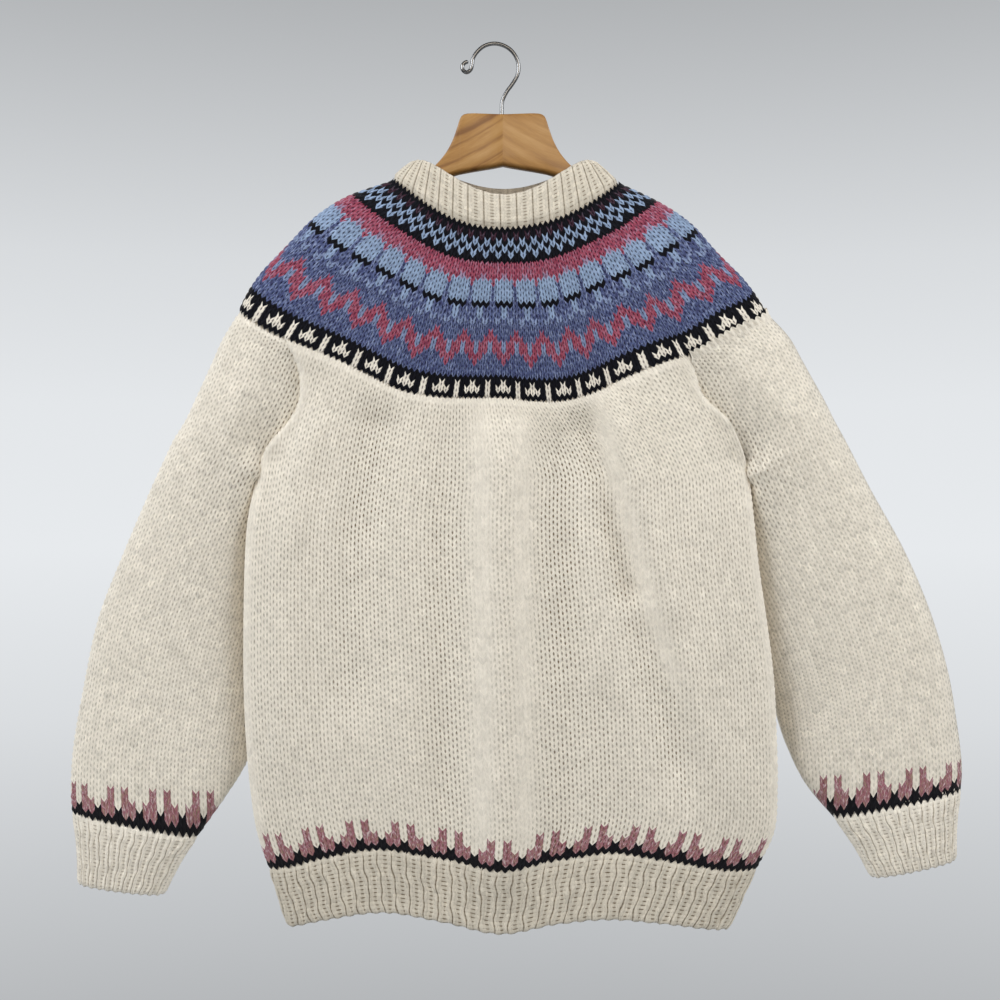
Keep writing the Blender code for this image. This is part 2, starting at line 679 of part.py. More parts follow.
def build_collar(mat):
    """The folded rib collar round the neck."""
    columns = COLLAR_RIBS * RIB_COLUMNS
    repeat = np.arange(columns) * REPEATS / columns
    marks = np.arange(REPEATS * 2 + 1) * 0.5
    corners = yoke_point(marks, 0.0)
    ways = -yoke_inward(marks, 0.0008)
    base = np.stack([np.interp(repeat, marks, corners[:, k]) for k in range(3)], axis=-1)
    edge_out = np.stack([np.interp(repeat, marks, ways[:, k]) for k in range(3)], axis=-1)
    rim = collar_rim(repeat)
    way = unit(rim - base)
    base = base + way * (SEAM * 0.8)
    round_it = np.roll(base, -1, axis=0) - np.roll(base, 1, axis=0)
    out = unit(np.cross(round_it, way))
    if np.sum((base - base.mean(axis=0)) * out) < 0:
        out = -out
    ribs = rib_profile(columns) * RIB_RISE
    length = np.linalg.norm(rim - base, axis=1)[:, None]
    # share of the height, distance out of the middle of the wall, share of the ribs
    outer_line = ((0.0, 0.0, 0.35), (0.18, 1.6, 1.0), (0.5, 2.0, 1.0), (0.82, 1.2, 1.0), (0.96, -0.4, 0.7))
    inner_line = ((1.0, -2.6, 0.0), (0.90, -5.2, 0.0), (0.5, -4.4, 0.0), (0.0, -WALL, 0.0))
    rings = []
    for share, off, amount in outer_line + inner_line:
        blend = min(1.0, share / 0.35)
        direction = unit(edge_out * (1 - blend) + out * blend)
        middle = base + way * length * share
        rings.append(middle + direction * (off + ribs * amount)[:, None])
    count = len(rings)
    faces = ring_faces(count, columns)
    for c in range(columns):
        d = (c + 1) % columns
        faces.append([(count - 1) * columns + c, (count - 1) * columns + d, d, c])
    return add_mesh("collar", np.vstack(rings), faces, mat)


# ---------------------------------------------------------------- hanger
def build_hanger(mat):
    """The wooden hanger: two arms that meet in an upright crest."""
    outline = (
        (-1.0, 0.72),
        (-0.62, 1.0),
        (0.62, 1.0),
        (1.0, 0.72),
        (1.0, -0.62),
        (0.5, -1.0),
        (-0.5, -1.0),
        (-1.0, -0.62),
    )
    rings = []
    for side in (-1, 1):
        table = ARM[:0:-1] if side < 0 else ARM
        for reach, top, bottom, recede, half in table:
            ring = []
            for u, v in outline:
                middle = (top + bottom) / 2
                tall = (top - bottom) / 2
                corner = min(1.0, 5.0 / max(1.0, tall))
                height = middle + tall * (1 - corner * (1 - abs(v))) * math.copysign(1, v)
                height = height if reach < 204 else middle + tall * v
                ring.append((HANGER_CENTRE + side * reach, HANGER_CREST + recede + half * u, height))
            rings.append(ring)
    points = np.array(rings).reshape(-1, 3)
    count = len(outline)
    faces = ring_faces(len(rings), count)
    faces.append(list(range(count)))
    last = (len(rings) - 1) * count
    faces.append([last + i for i in reversed(range(count))])
    hanger = add_mesh("hanger_wood", points, faces, mat)
    bpy.ops.mesh.primitive_cylinder_add(
        vertices=12,
        radius=(HOOK_WIRE + 0.3) * MM,
        depth=26 * MM,
        location=(HOOK[0][0] * MM, HANGER_CREST * MM, -66 * MM),
    )
    drill = bpy.context.active_object
    drill.name = "hook_bore"
    drill.display_type = "WIRE"
    drill.hide_render = True
    bore = hanger.modifiers.new("hook_bore", "BOOLEAN")
    bore.operation = "DIFFERENCE"
    bore.solver = "EXACT"
    bore.object = drill
    for polygon in hanger.data.polygons:
        polygon.use_smooth = False
    return hanger


def build_hook(mat):
    """The hook: a bent wire with a small eye at its end, cut off inside the wood."""
    curve = bpy.data.curves.new("hanger_hook", "CURVE")
    curve.dimensions = "3D"
    curve.bevel_depth = HOOK_WIRE * MM
    curve.bevel_resolution = 1
    curve.use_fill_caps = True
    curve.resolution_u = 3
    spline = curve.splines.new("BEZIER")
    spline.bezier_points.add(len(HOOK) - 1)
    for point, (x, z) in zip(spline.bezier_points, HOOK):
        point.co = (x * MM, HANGER_CREST * MM, z * MM)
        point.handle_left_type = "AUTO"
        point.handle_right_type = "AUTO"
    rough = bpy.data.objects.new("hook_curve", curve)
    sweater.objects.link(rough)
    depsgraph = bpy.context.evaluated_depsgraph_get()
    mesh = bpy.data.meshes.new_from_object(rough.evaluated_get(depsgraph))
    bpy.data.objects.remove(rough)
    mesh.name = "hanger_hook"
    weld = bmesh.new()
    weld.from_mesh(mesh)
    bmesh.ops.remove_doubles(weld, verts=weld.verts, dist=0.00002)
    bmesh.ops.recalc_face_normals(weld, faces=weld.faces)
    weld.to_mesh(mesh)
    weld.free()
    mesh.materials.clear()
    mesh.materials.append(mat)
    mesh.polygons.foreach_set("use_smooth", [True] * len(mesh.polygons))
    hook = bpy.data.objects.new("hanger_hook", mesh)
    sweater.objects.link(hook)
    return hook


# ---------------------------------------------------------------- the whole
for old in list(bpy.data.objects):
    bpy.data.objects.remove(old)

sweater = bpy.data.collections.new("nordic_yoke_sweater")
bpy.context.scene.collection.children.link(sweater)

cream = material("cream_wool", (0.68, 0.63, 0.55), 0.95)
blue = material("heather_blue_wool", (0.13, 0.17, 0.32), 0.95)
maple = material("varnished_beech", (0.60, 0.33, 0.12), 0.30)
wire = material("black_wire", (0.03, 0.03, 0.035), 0.35, 0.9)

build_collar(cream)
build_yoke(blue)
build_body(cream)
build_hem(cream)
build_sleeve("sleeve_left", SLEEVE_LEFT, CUFF_LEFT, True, cream)
build_sleeve("sleeve_right", SLEEVE_RIGHT, CUFF_RIGHT, False, cream)
build_cuff("cuff_left", SLEEVE_LEFT, CUFF_LEFT, cream)
build_cuff("cuff_right", SLEEVE_RIGHT, CUFF_RIGHT, cream)
build_hanger(maple)
build_hook(wire)
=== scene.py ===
"""A nordic yoke sweater on a wooden hanger: its looks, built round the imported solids.

The frame's origin is where the hook bears on its rail.  +Z is up, +X is to the right of
someone who looks at the front, and the front faces -Y.  Lengths are in millimetres and
become metres where a mesh is made.
"""

import math

import bpy
import numpy as np
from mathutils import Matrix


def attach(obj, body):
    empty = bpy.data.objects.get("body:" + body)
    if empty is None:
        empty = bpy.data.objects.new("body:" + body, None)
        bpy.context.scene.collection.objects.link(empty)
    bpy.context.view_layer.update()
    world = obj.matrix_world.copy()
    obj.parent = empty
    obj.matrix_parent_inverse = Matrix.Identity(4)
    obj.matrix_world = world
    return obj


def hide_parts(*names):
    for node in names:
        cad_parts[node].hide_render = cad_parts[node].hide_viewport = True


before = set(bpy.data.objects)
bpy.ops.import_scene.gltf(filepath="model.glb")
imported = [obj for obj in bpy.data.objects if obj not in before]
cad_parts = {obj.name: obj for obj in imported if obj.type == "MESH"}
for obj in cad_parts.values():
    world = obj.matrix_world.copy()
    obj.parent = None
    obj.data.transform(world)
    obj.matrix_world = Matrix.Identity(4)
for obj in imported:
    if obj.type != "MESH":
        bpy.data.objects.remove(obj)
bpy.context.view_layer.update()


# ======================================================================= the yoke
# A round yoke knitted in stranded stocking stitch: worsted wool in black, light blue,
# heather blue, rose and cream, worked in the round in one piece from the collar's
# picked-up edge to the body and both sleeves.  Each stitch is two leaning legs of yarn.
MM = 0.001
REPEATS = 34              # repeats of the pattern round the yoke
YOKE_ROUNDS = 30
FRONT_DEPTH = 37.0        # front of the yoke before the shoulder line
BACK_DEPTH = 29.0
RIDGE = 0.38              # how blunt the cloth lies over the hanger
BACK_NECK_DROP = 0.62     # sag of the back neck as a share of the front's
BACK_EDGE_DROP = 0.88
LEAN = 0.7                # how far a leg leans, in rounds
SLANT = 0.7               # how far a leg moves to the middle of its stitch on its way down
STITCH_RISE = 1.5         # height of a leg over the gaps between the legs
GROUND = 0.4              # how far the gaps lie under the form of the piece
SPLIT = 4                 # mesh columns to a stitch
YOKE_FINE = 4             # mesh lines to a round of the yoke
YOKE_TUCK = 2.2           # how far a band's line on top lies under the band over it

# Round of the yoke, and its share of the way from the collar to the edge
ROUND_SHARES = ((1, 0.0), (4, 0.106), (7, 0.212), (15, 0.471), (25, 0.81), (31, 1.0))

# repeat from the left shoulder, neck x, neck z, edge x, edge z
YOKE_FRONT = (
    (0, -97, -132.4, -244.4, -257.5),
    (0.5, -94.6, -134.8, -240.7, -261.8),
    (1.5, -84.9, -143.1, -212.2, -280.4),
    (2.5, -73.1, -152.7, -180.2, -294.2),
    (3.5, -60.6, -162, -147.7, -307.3),
    (4.5, -47.3, -170.4, -116.1, -323.1),
    (5.5, -33.2, -177.2, -84.8, -337.6),
    (6.5, -18.4, -181.9, -50, -343.7),
    (7.5, -3.1, -184.5, -19.8, -344.5),
    (8.5, 12.4, -185.1, 10.7, -344.4),
    (9.5, 27.9, -184, 39.2, -347.7),
    (10.5, 43.2, -181.3, 69.6, -347),
    (11.5, 58.2, -177.1, 98.1, -338.7),
    (12.5, 72.7, -171.3, 126.8, -325.1),
    (13.5, 86.6, -164.1, 166.6, -309.2),
    (14.5, 99.8, -155.8, 195.9, -300.3),
    (15.5, 112.1, -146.7, 229.9, -280.4),
    (16.5, 121.7, -138.5, 261.5, -266.1),
    (17, 124.2, -134.8, 265.8, -259.9),
)

# The shoulder line's bulge: share of the way, left out, left up, right out, right up
SHOULDER = (
    (0, 0, 0, 0, 0),
    (0.1, 4.7, 6.8, 3.6, 4.9),
    (0.2, 9.2, 12.8, 6.9, 9),
    (0.4, 13.9, 17.3, 11, 12.8),
    (0.6, 12.5, 13.7, 8.3, 9.4),
    (0.8, 10.1, 9.5, 6.7, 7.1),
    (0.9, 6.2, 5.6, 4.1, 4.1),
    (1, 0, 0, 0, 0),
)

# The yoke's chart, a line a round, worked down from the collar.  k black, w wine,
# l light blue, s the same in single stitches, b heather blue, p pale blue, q lilac rose,
# r rose, c cream, n the same cream a shade darker, painted shade for the collar and the hem.
CHART_NECK = ("kk", "kw", "lk", "kl", "lk", "kk")
CHART_BLOCKS = (
    "rrrr", "rrrr", "qrrr", "llrl", "llbl", "llbl", "llbl", "kkbk", "sbbb", "sbbb", "bpbp",
)
CHART_WAVES = (
    "bbbbbb", "bbbrbb", "bbrrrb", "prrprr", "prrprr", "rrbbbr", "rbbbbb", "bbbbbb", "bbbbbb",
    "kkkkkk", "ckkckk", "cckckc", "kkkckk",
)

# Yarns: sRGB colour, and how much of it is flecked with other fibres
YARNS = {
    "c": ("#f0e8d9", 0.1),
    "k": ("#0c0c14", 0.02),
    "w": ("#3a1a22", 0.3),
    "l": ("#95abc8", 0.55),
    "s": ("#8fa3c2", 0.5),
    "b": ("#4f5c86", 1.0),
    "p": ("#8696b8", 0.6),
    "q": ("#a98ba6", 0.6),
    "r": ("#a84657", 0.7),
    "m": ("#8e3f5a", 0.9),
    # n: painted shade, the cream drawn darker for the collar and the hem
    "n": ("#dad1c0", 0.1),
}
rng = np.random.default_rng(11)


def linear(code):
    """An sRGB hex colour as linear red, green, blue and one."""
    value = np.array([int(code[i : i + 2], 16) for i in (1, 3, 5)]) / 255
    low = value / 12.92
    high = ((value + 0.055) / 1.055) ** 2.4
    return (*np.where(value <= 0.04045, low, high), 1.0)


def column(table, index):
    """One column of a table."""
    return np.array([row[index] for row in table], dtype=float)


def smooth(knots, values, x):
    """A cubic through the knots, with each knot's slope taken from its neighbours."""
    knots = np.asarray(knots, dtype=float)
    values = np.asarray(values, dtype=float)
    x = np.clip(np.asarray(x, dtype=float), knots[0], knots[-1])
    slope = np.gradient(values, knots)
    k = np.clip(np.searchsorted(knots, x, side="right") - 1, 0, len(knots) - 2)
    h = knots[k + 1] - knots[k]
    u = (x - knots[k]) / h
    a = values[k] * (1 + 2 * u) * (1 - u) ** 2
    b = h * slope[k] * u * (1 - u) ** 2
    c = values[k + 1] * u * u * (3 - 2 * u)
    d = h * slope[k + 1] * u * u * (u - 1)
    return a + b + c + d


def look(table, index, x):
    """A column of a table, read smoothly at x in its first column."""
    return smooth(column(table, 0), column(table, index), x)


def stack(x, y, z):
    """Three arrays as points."""
    return np.stack(np.broadcast_arrays(x, y, z), axis=-1)


def unit(v):
    """Vectors made one long."""
    return v / np.maximum(np.linalg.norm(v, axis=-1, keepdims=True), 1e-9)


def yoke_point(repeat, share):
    """The yoke's form: a straight line from neck to edge at each repeat, bulged at the
    shoulders, set to the front or back by 1 less the square of the way across, to RIDGE."""
    repeat = np.mod(np.asarray(repeat, dtype=float), REPEATS)
    share = np.asarray(share, dtype=float)
    half = REPEATS / 2
    side = np.where(repeat <= half, repeat, REPEATS - repeat)
    back = repeat > half
    across = side / half
    neck_x = look(YOKE_FRONT, 1, side)
    neck_z = look(YOKE_FRONT, 2, side)
    edge_x = look(YOKE_FRONT, 3, side)
    edge_z = look(YOKE_FRONT, 4, side)
    neck_line = YOKE_FRONT[0][2] + (YOKE_FRONT[-1][2] - YOKE_FRONT[0][2]) * across
    edge_line = YOKE_FRONT[0][4] + (YOKE_FRONT[-1][4] - YOKE_FRONT[0][4]) * across
    neck_z = np.where(back, neck_line + (neck_z - neck_line) * BACK_NECK_DROP, neck_z)
    edge_z = np.where(back, edge_line + (edge_z - edge_line) * BACK_EDGE_DROP, edge_z)
    near_left = np.exp(-side / 1.7)
    near_right = np.exp(-(half - side) / 1.7)
    x = neck_x + (edge_x - neck_x) * share
    z = neck_z + (edge_z - neck_z) * share
    x = x - look(SHOULDER, 1, share) * near_left + look(SHOULDER, 3, share) * near_right
    z = z + look(SHOULDER, 2, share) * near_left + look(SHOULDER, 4, share) * near_right
    bulge = np.clip(1 - (1 - 2 * across) ** 2, 0, 1) ** RIDGE
    depth = np.where(back, BACK_DEPTH, -FRONT_DEPTH)
    belly = 1 + 0.05 * np.sin(math.pi * np.clip(share, 0, 1))
    return stack(x, depth * bulge * belly, z)


def yoke_out(repeat, share):
    """Outward direction: across the way down and the way round."""
    down = yoke_point(repeat, share + 0.02) - yoke_point(repeat, share - 0.02)
    round_it = yoke_point(repeat + 0.4, share) - yoke_point(repeat - 0.4, share)
    return unit(np.cross(down, round_it))


def stitch_form(edge, down):
    """Height of stocking stitch.  edge is 0 in the middle of a stitch and 1 at its sides, down
    runs from 0 to 1 along a leg.  A leg is round across and along, and slants from the side
    of its stitch at its top to the middle at its foot."""
    off = 2 * edge - 1 + SLANT * (down - 0.5)
    bulge = (4 * down * (1 - down)) ** 0.6
    return np.clip(1 - off**2, 0, 1) * (0.55 + 0.45 * bulge)


def yarn_colours(letters, uneven=0.05):
    """A colour for each stitch of a block of letters: linear rgb, a little uneven, and its fleck."""
    colours = np.zeros((*letters.shape, 4))
    for letter, (code, fleck) in YARNS.items():
        colours[letters == letter] = (*linear(code)[:3], fleck)
    shade = 1 + uneven * rng.standard_normal(letters.shape)
    colours[..., :3] = np.clip(colours[..., :3] * shade[..., None], 0, 1)
    return colours


def grid_faces(lines, columns, closed):
    """Four-cornered faces of a grid of lines and columns, facing out when lines run down
    and columns run from the left to the right of the front."""
    index = np.arange(lines * columns).reshape(lines, columns)
    if closed:
        index = np.hstack([index, index[:, :1]])
    corners = (index[:-1, :-1], index[1:, :-1], index[1:, 1:], index[:-1, 1:])
    return np.stack(corners, axis=-1).reshape(-1, 4)


def grid_stitches(v, u):
    """Stitch along and round down at the four corners of each face of a grid."""
    along = np.stack([u[:-1], u[:-1], u[1:], u[1:]], axis=-1)[None]
    down = np.stack([v[:-1], v[1:], v[1:], v[:-1]], axis=-1)[:, None]
    return np.stack(np.broadcast_arrays(along, down), axis=-1).reshape(-1, 4, 2)


def new_piece(name, points, faces, mat):
    """A smooth mesh of millimetre points and lists of corners, put in the scene."""
    mesh = bpy.data.meshes.new(name)
    mesh.from_pydata((points.reshape(-1, 3) * MM).tolist(), [], faces)
    mesh.polygons.foreach_set("use_smooth", np.ones(len(mesh.polygons), dtype=bool))
    mesh.materials.append(mat)
    piece = bpy.data.objects.new(name, mesh)
    bpy.context.scene.collection.objects.link(piece)
    return piece


def knit_mesh(name, points, faces, colours, stitches, gap_shades, mat):
    """A mesh of knitting, with a yarn for each face, the stitch and round at each corner, and
    for each point how much painted shade the holes between stitches take."""
    piece = new_piece(name, points, faces.tolist(), mat)
    mesh = piece.data
    yarn = mesh.attributes.new("yarn", "FLOAT_COLOR", "FACE")
    yarn.data.foreach_set("color", colours.astype(np.float32).ravel())
    gap_shade = mesh.attributes.new("gap_shade", "FLOAT", "POINT")
    gap_shade.data.foreach_set("value", gap_shades.astype(np.float32).ravel())
    counted = mesh.uv_layers.new(name="stitches")
    counted.data.foreach_set("uv", stitches.astype(np.float32).ravel())
    mesh.update()
    return piece


def add(tree, kind, inputs=None, **settings):
    """One node of a material: its settings, and for each input a value, or the node or the
    output that feeds it."""
    made = tree.nodes.new("ShaderNode" + kind)
    for key, value in settings.items():
        setattr(made, key, value)
    for key, value in (inputs or {}).items():
        if isinstance(value, bpy.types.Node):
            value = value.outputs[0]
        if isinstance(value, bpy.types.NodeSocket):
            tree.links.new(value, made.inputs[key])
        else:
            made.inputs[key].default_value = value
    return made


def material(name, finish):
    """A material, its nodes, and its shader with the values of its finish."""
    mat = bpy.data.materials.new(name)
    mat.use_nodes = True
    shader = mat.node_tree.nodes["Principled BSDF"]
    for key, value in finish.items():
        shader.inputs[key].default_value = value
    return mat, mat.node_tree, shader


# How far from the middle of a leg a spot is, worked out from stitch u and round v, and how
# much painted shade it takes, as if it lay deep: in the groove between two legs, or in the
# notches in and beside each V
STOCKING = (
    ("side", "FRACT", "u"),
    ("side", "MULTIPLY_ADD", "side", 2, -1),
    ("side", "ABSOLUTE", "side"),
    ("down", "FRACT", "v"),
    ("off", "MULTIPLY_ADD", "down", SLANT, -1.0 - SLANT / 2),
    ("off", "MULTIPLY_ADD", "side", 2, "off"),
    ("end", "MULTIPLY_ADD", "down", 2, -1),
    ("end", "POWER", "end", 4),
    ("square", "MULTIPLY", "off", "off"),
    ("far", "MULTIPLY_ADD", "end", 0.7, "square"),
    ("leg", "MULTIPLY_ADD", "far", -0.5, 1),
    ("leg", "MAXIMUM", "leg", 0),
    ("groove", "MULTIPLY_ADD", "far", 0.34, -0.18),
    ("tall", "MULTIPLY_ADD", "side", -0.2, "down"),
    ("tall", "SUBTRACT", "tall", 0.42),
    ("tall", "MULTIPLY", "tall", "tall"),
    ("legs", "MULTIPLY", "u", 2),
    ("broad", "FRACT", "legs"),
    ("broad", "MULTIPLY_ADD", "broad", 2, -1),
    ("broad", "ABSOLUTE", "broad"),
    ("broad", "SUBTRACT", 1, "broad"),
    ("broad", "MULTIPLY", "broad", "broad"),
    ("hole", "MULTIPLY_ADD", "tall", -7.7, 1.05),
    ("hole", "MULTIPLY_ADD", "broad", -2.9, "hole"),
    ("hole", "MAXIMUM", "hole", "groove"),
    ("half", "FLOOR", "legs"),
    ("strand", "MULTIPLY", "half", 3.7),
    ("across", "MULTIPLY", "off", 1.5),
    ("along", "MULTIPLY", "v", 1.2),
)
# The same for single rib: painted shade in a thin line up the middle of a plain stitch, and in bars
# across a purl one
RIB = STOCKING + (
    ("line", "MULTIPLY_ADD", "side", -3.4, 1.1),
    ("line", "MAXIMUM", "line", 0),
    ("dots", "MULTIPLY_ADD", "end", 0.35, 0.65),
    ("line", "MULTIPLY", "line", "dots"),
    ("plain", "MAXIMUM", "groove", "line"),
    ("bow", "MULTIPLY", "side", "side"),
    ("bow", "MULTIPLY_ADD", "bow", 0.15, "v"),
    ("bar", "FRACT", "bow"),
    ("bar", "MULTIPLY_ADD", "bar", 2, -1),
    ("bar", "ABSOLUTE", "bar"),
    ("bar", "MULTIPLY_ADD", "bar", 2.6, -1.6),
    ("bar", "MAXIMUM", "bar", 0),
    ("inner", "MULTIPLY_ADD", "side", -2.6, 1.7),
    ("inner", "MINIMUM", "inner", 1),
    ("inner", "MAXIMUM", "inner", 0),
    ("purl", "MULTIPLY", "bar", "inner"),
    ("purl", "MULTIPLY_ADD", "inner", 0.28, "purl"),
    ("pair", "MULTIPLY", "u", 0.5),
    ("pair", "FRACT", "pair"),
    ("turned", "GREATER_THAN", "pair", 0.5),
    ("more", "SUBTRACT", "purl", "plain"),
    ("hole", "MULTIPLY_ADD", "turned", "more", "plain"),
)


def worsted_wool(name, form, gap_shade_colour, fleck_dark, fleck_light):
    """Worsted-spun wool, knitted: matt, with a soft sheen from its stray fibres, streaked along
    each leg of a stitch, with painted shade in the holes between legs, and flecked where it is
    heathered."""
    sheen = {"Sheen Weight": 0.14, "Sheen Roughness": 0.45, "Sheen Tint": (0.95, 0.93, 0.9, 1.0)}
    mat, tree, shader = material(name, {"Roughness": 0.95, "Specular IOR Level": 0.15, **sheen})
    place = add(tree, "TexCoord").outputs["Object"]
    yarn = add(tree, "Attribute", attribute_name="yarn")
    gap_shade = add(tree, "Attribute", attribute_name="gap_shade")
    stitch = add(tree, "SeparateXYZ", {0: add(tree, "UVMap", uv_map="stitches")})
    known = {"u": stitch.outputs[0], "v": stitch.outputs[1]}
    for result, what, *terms in form:
        inputs = {i: known.get(term, term) for i, term in enumerate(terms)}
        known[result] = add(tree, "Math", inputs, operation=what)
    lay = add(tree, "CombineXYZ", {0: known["across"], 1: known["along"], 2: known["strand"]})
    fibres = add(tree, "TexNoise", {"Scale": 1.0, "Detail": 3.0, "Roughness": 0.65, "Vector": lay})
    tufts = add(tree, "TexNoise", {"Scale": 160.0, "Detail": 4.0, "Roughness": 0.65, "Vector": place})
    colour = yarn.outputs["Color"]
    for low, high, most, fleck in ((0.52, 0.36, 0.8, fleck_dark), (0.5, 0.68, 0.75, fleck_light)):
        part = add(tree, "MapRange", {"Value": fibres, "From Min": low, "From Max": high, "To Max": most})
        part = add(tree, "Math", {0: part, 1: yarn.outputs["Alpha"]}, operation="MULTIPLY")
        colour = add(tree, "Mix", {0: part, 6: colour, 7: linear(fleck)}, data_type="RGBA").outputs[2]
    for grain, dark, light in ((tufts, 0.96, 1.04), (fibres, 0.89, 1.08)):
        spread = {"From Min": 0.3, "From Max": 0.7, "To Min": dark, "To Max": light}
        mixed = {0: 1.0, 6: colour, 7: add(tree, "MapRange", {"Value": grain, **spread})}
        colour = add(tree, "Mix", mixed, data_type="RGBA", blend_type="MULTIPLY").outputs[2]
    # Painted shade: the holes between legs are mixed towards a dark shade colour, as strongly as each
    # point of the mesh asks
    hole = add(tree, "MapRange", {"Value": known["hole"]}, interpolation_type="SMOOTHSTEP")
    depth = add(tree, "Math", {0: hole, 1: gap_shade.outputs["Fac"]}, operation="MULTIPLY", use_clamp=True)
    mixed = {0: depth, 6: colour, 7: linear(gap_shade_colour)}
    colour = add(tree, "Mix", mixed, data_type="RGBA", blend_type="MULTIPLY").outputs[2]
    tree.links.new(colour, shader.inputs["Base Color"])
    twist = add(tree, "Math", {0: fibres, 1: 0.5, 2: known["leg"]}, operation="MULTIPLY_ADD")
    bump = add(tree, "Bump", {"Strength": 0.5, "Distance": 0.0009, "Height": twist})
    tree.links.new(bump.outputs[0], shader.inputs["Normal"])
    return mat


def yoke_band(first, rounds, count, start, chart, tuck):
    """One band of the yoke, count stitches round, from its first round down.  Lines follow the
    legs: line j of a round is j over YOKE_FINE rounds down, less LEAN at a stitch's sides.
    A tucked band has one more line on top, which lies under the band over it."""
    columns = count * SPLIT
    u = np.arange(columns + 1) / SPLIT
    edge = np.abs(2 * np.mod(u[:-1], 1.0) - 1)
    repeat = start + u[:-1] * REPEATS / count
    steps = np.arange(rounds * YOKE_FINE + 1)
    if tuck:
        steps = np.concatenate([[-YOKE_FINE // 2], steps])
    height = stitch_form(edge[None, :], np.mod(steps, YOKE_FINE)[:, None] / YOKE_FINE)
    level = first + steps[:, None] / YOKE_FINE - LEAN * edge[None, :]
    share = np.interp(level, column(ROUND_SHARES, 0), column(ROUND_SHARES, 1))
    over = np.clip(1 - level, 0, 1)
    share = np.clip(share - over / YOKE_ROUNDS * 0.8, -0.03, 1.0)
    around = np.broadcast_to(repeat, share.shape)
    rise = height * STITCH_RISE - GROUND + 2.6 * over - 0.4 * np.clip(level - YOKE_ROUNDS, 0, 1)
    if tuck:
        rise[0] = -YOKE_TUCK
    points = yoke_point(around, share) + yoke_out(around, share) * rise[..., None]
    letters = np.array([list(line) for line in chart])[:, np.arange(count) % len(chart[0])]
    rows = np.clip(steps[:-1] // YOKE_FINE, 0, rounds - 1)
    colours = np.repeat(yarn_colours(letters)[rows], SPLIT, axis=1)
    colours = spread_yarn(colours, np.repeat(letters[rows], SPLIT, axis=1))
    return points, colours, grid_stitches(steps / YOKE_FINE + first, u), len(steps), columns


def spread_yarn(colours, letters):
    """Light yarn is fuller than dark: at a change along a round it covers, here and there, the
    first quarter of the stitch beside it."""
    full = np.isin(letters, ("l", "c"))
    for step in (1, -1):
        beside = np.roll(full, step, axis=1) & ~full & ~np.isin(letters, ("k", "w"))
        taken = beside & (rng.random(letters.shape) < 0.7)
        colours[taken] = np.roll(colours, step, axis=1)[taken]
    return colours


def build_yoke(mat):
    """The yoke's three bands in one mesh: 3, 4 and then 6 stitches a repeat."""
    bands = (
        yoke_band(1, 6, REPEATS * 3, 0.0, CHART_NECK, False),
        yoke_band(7, 11, REPEATS * 4, 0.375, CHART_BLOCKS, True),
        yoke_band(18, 13, REPEATS * 6, 5 / 12, CHART_WAVES, True),
    )
    parts = []
    offset = 0
    for points, colours, counted, lines, columns in bands:
        faces = grid_faces(lines, columns, True) + offset
        parts.append((points.reshape(-1, 3), faces, colours.reshape(-1, 4), counted))
        offset += lines * columns
    points, faces, colours, counted = (np.vstack(part) for part in zip(*parts))
    # How strong the painted shade in the holes is, a little uneven
    gap_shades = 0.7 + 0.3 * rng.random(offset)
    return knit_mesh("yoke_knit", points, faces, colours, counted, gap_shades, mat)


patterned_wool = worsted_wool("patterned_worsted_wool", STOCKING, "#4c4550", "#3b3558", "#a9b4d0")
yoke = build_yoke(patterned_wool)
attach(yoke, "root")
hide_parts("yoke")


# ======================================================================= the body
# A tube of plain stocking stitch in undyed cream worsted, 138 stitches round and 78 rounds
# from the yoke's edge to the hem, with a small border of rose and black over the rib.
ARM_LEFT = 2.0            # repeat where the left front armhole crease starts
ARM_RIGHT = 14.25
BODY_STITCHES = 69        # across the front, and across the back
BODY_ROUNDS = 78
ROLL = 7.0                # how far the body rolls back at an armhole
BEHIND = 9.0              # how far the body runs on behind the sleeve
BODY_TUCK = 2.6           # how far the body's line on top lies under the yoke
BODY_WIDTH = 480.0
FINE = 2                  # mesh lines to a round, in everything but the yoke
GAP_SHADE_CUT = 0.88             # how much of the painted shade in the holes is taken away on fold flanks and near an armhole's edge
EDGE_GAP_SHADE_CUT = (-15.0, -5.0)  # from where to where the painted shade in the holes fades out before an armhole's edge

# share of the way, left x, right x, left z, right z, front y, back y
CREASE = (
    (0, -190.2, 188.5, -285.3, -303, -29, 20.8),
    (0.15, -183.8, 195.1, -307, -322.6, -28.1, 20),
    (0.30, -181.9, 202.9, -329, -341.7, -27.1, 19.1),
    (0.45, -186.3, 218.4, -350.8, -355.3, -25.9, 17.9),
    (0.60, -199, 233.7, -369.5, -369.2, -23.8, 15.5),
    (0.75, -214.6, 243.5, -385.8, -386.7, -20.2, 11.5),
    (0.88, -223.8, 247.4, -403, -404.1, -14.4, 4.8),
    (1, -228.2, 249, -420.5, -420.5, -6, -6),
)

# level, side z, left x, right x, side y, front y, back y, share of the hem's waves
BODY = (
    (0, -420.5, -228, 248.8, -6, -41, 27, 0),
    (1, -459, -234, 251.5, -15, -42, 27, 0.05),
    (2, -503, -236.6, 255.8, -16.5, -42.5, 27, 0.12),
    (3, -557, -237.6, 263.5, -17, -43, 27, 0.22),
    (4, -610, -237.6, 270, -17, -43, 27, 0.36),
    (5, -663, -235.6, 272.6, -17, -42.5, 26.5, 0.52),
    (6, -712, -231.6, 273.6, -16.5, -42, 26, 0.70),
    (7, -756, -225, 270.5, -16, -41, 25, 0.88),
    (8, -793, -213, 252.6, -15, -40, 24, 1),
)
HEM_END = (9, -850.5, -196, 227, -13, -37, 21, 1)

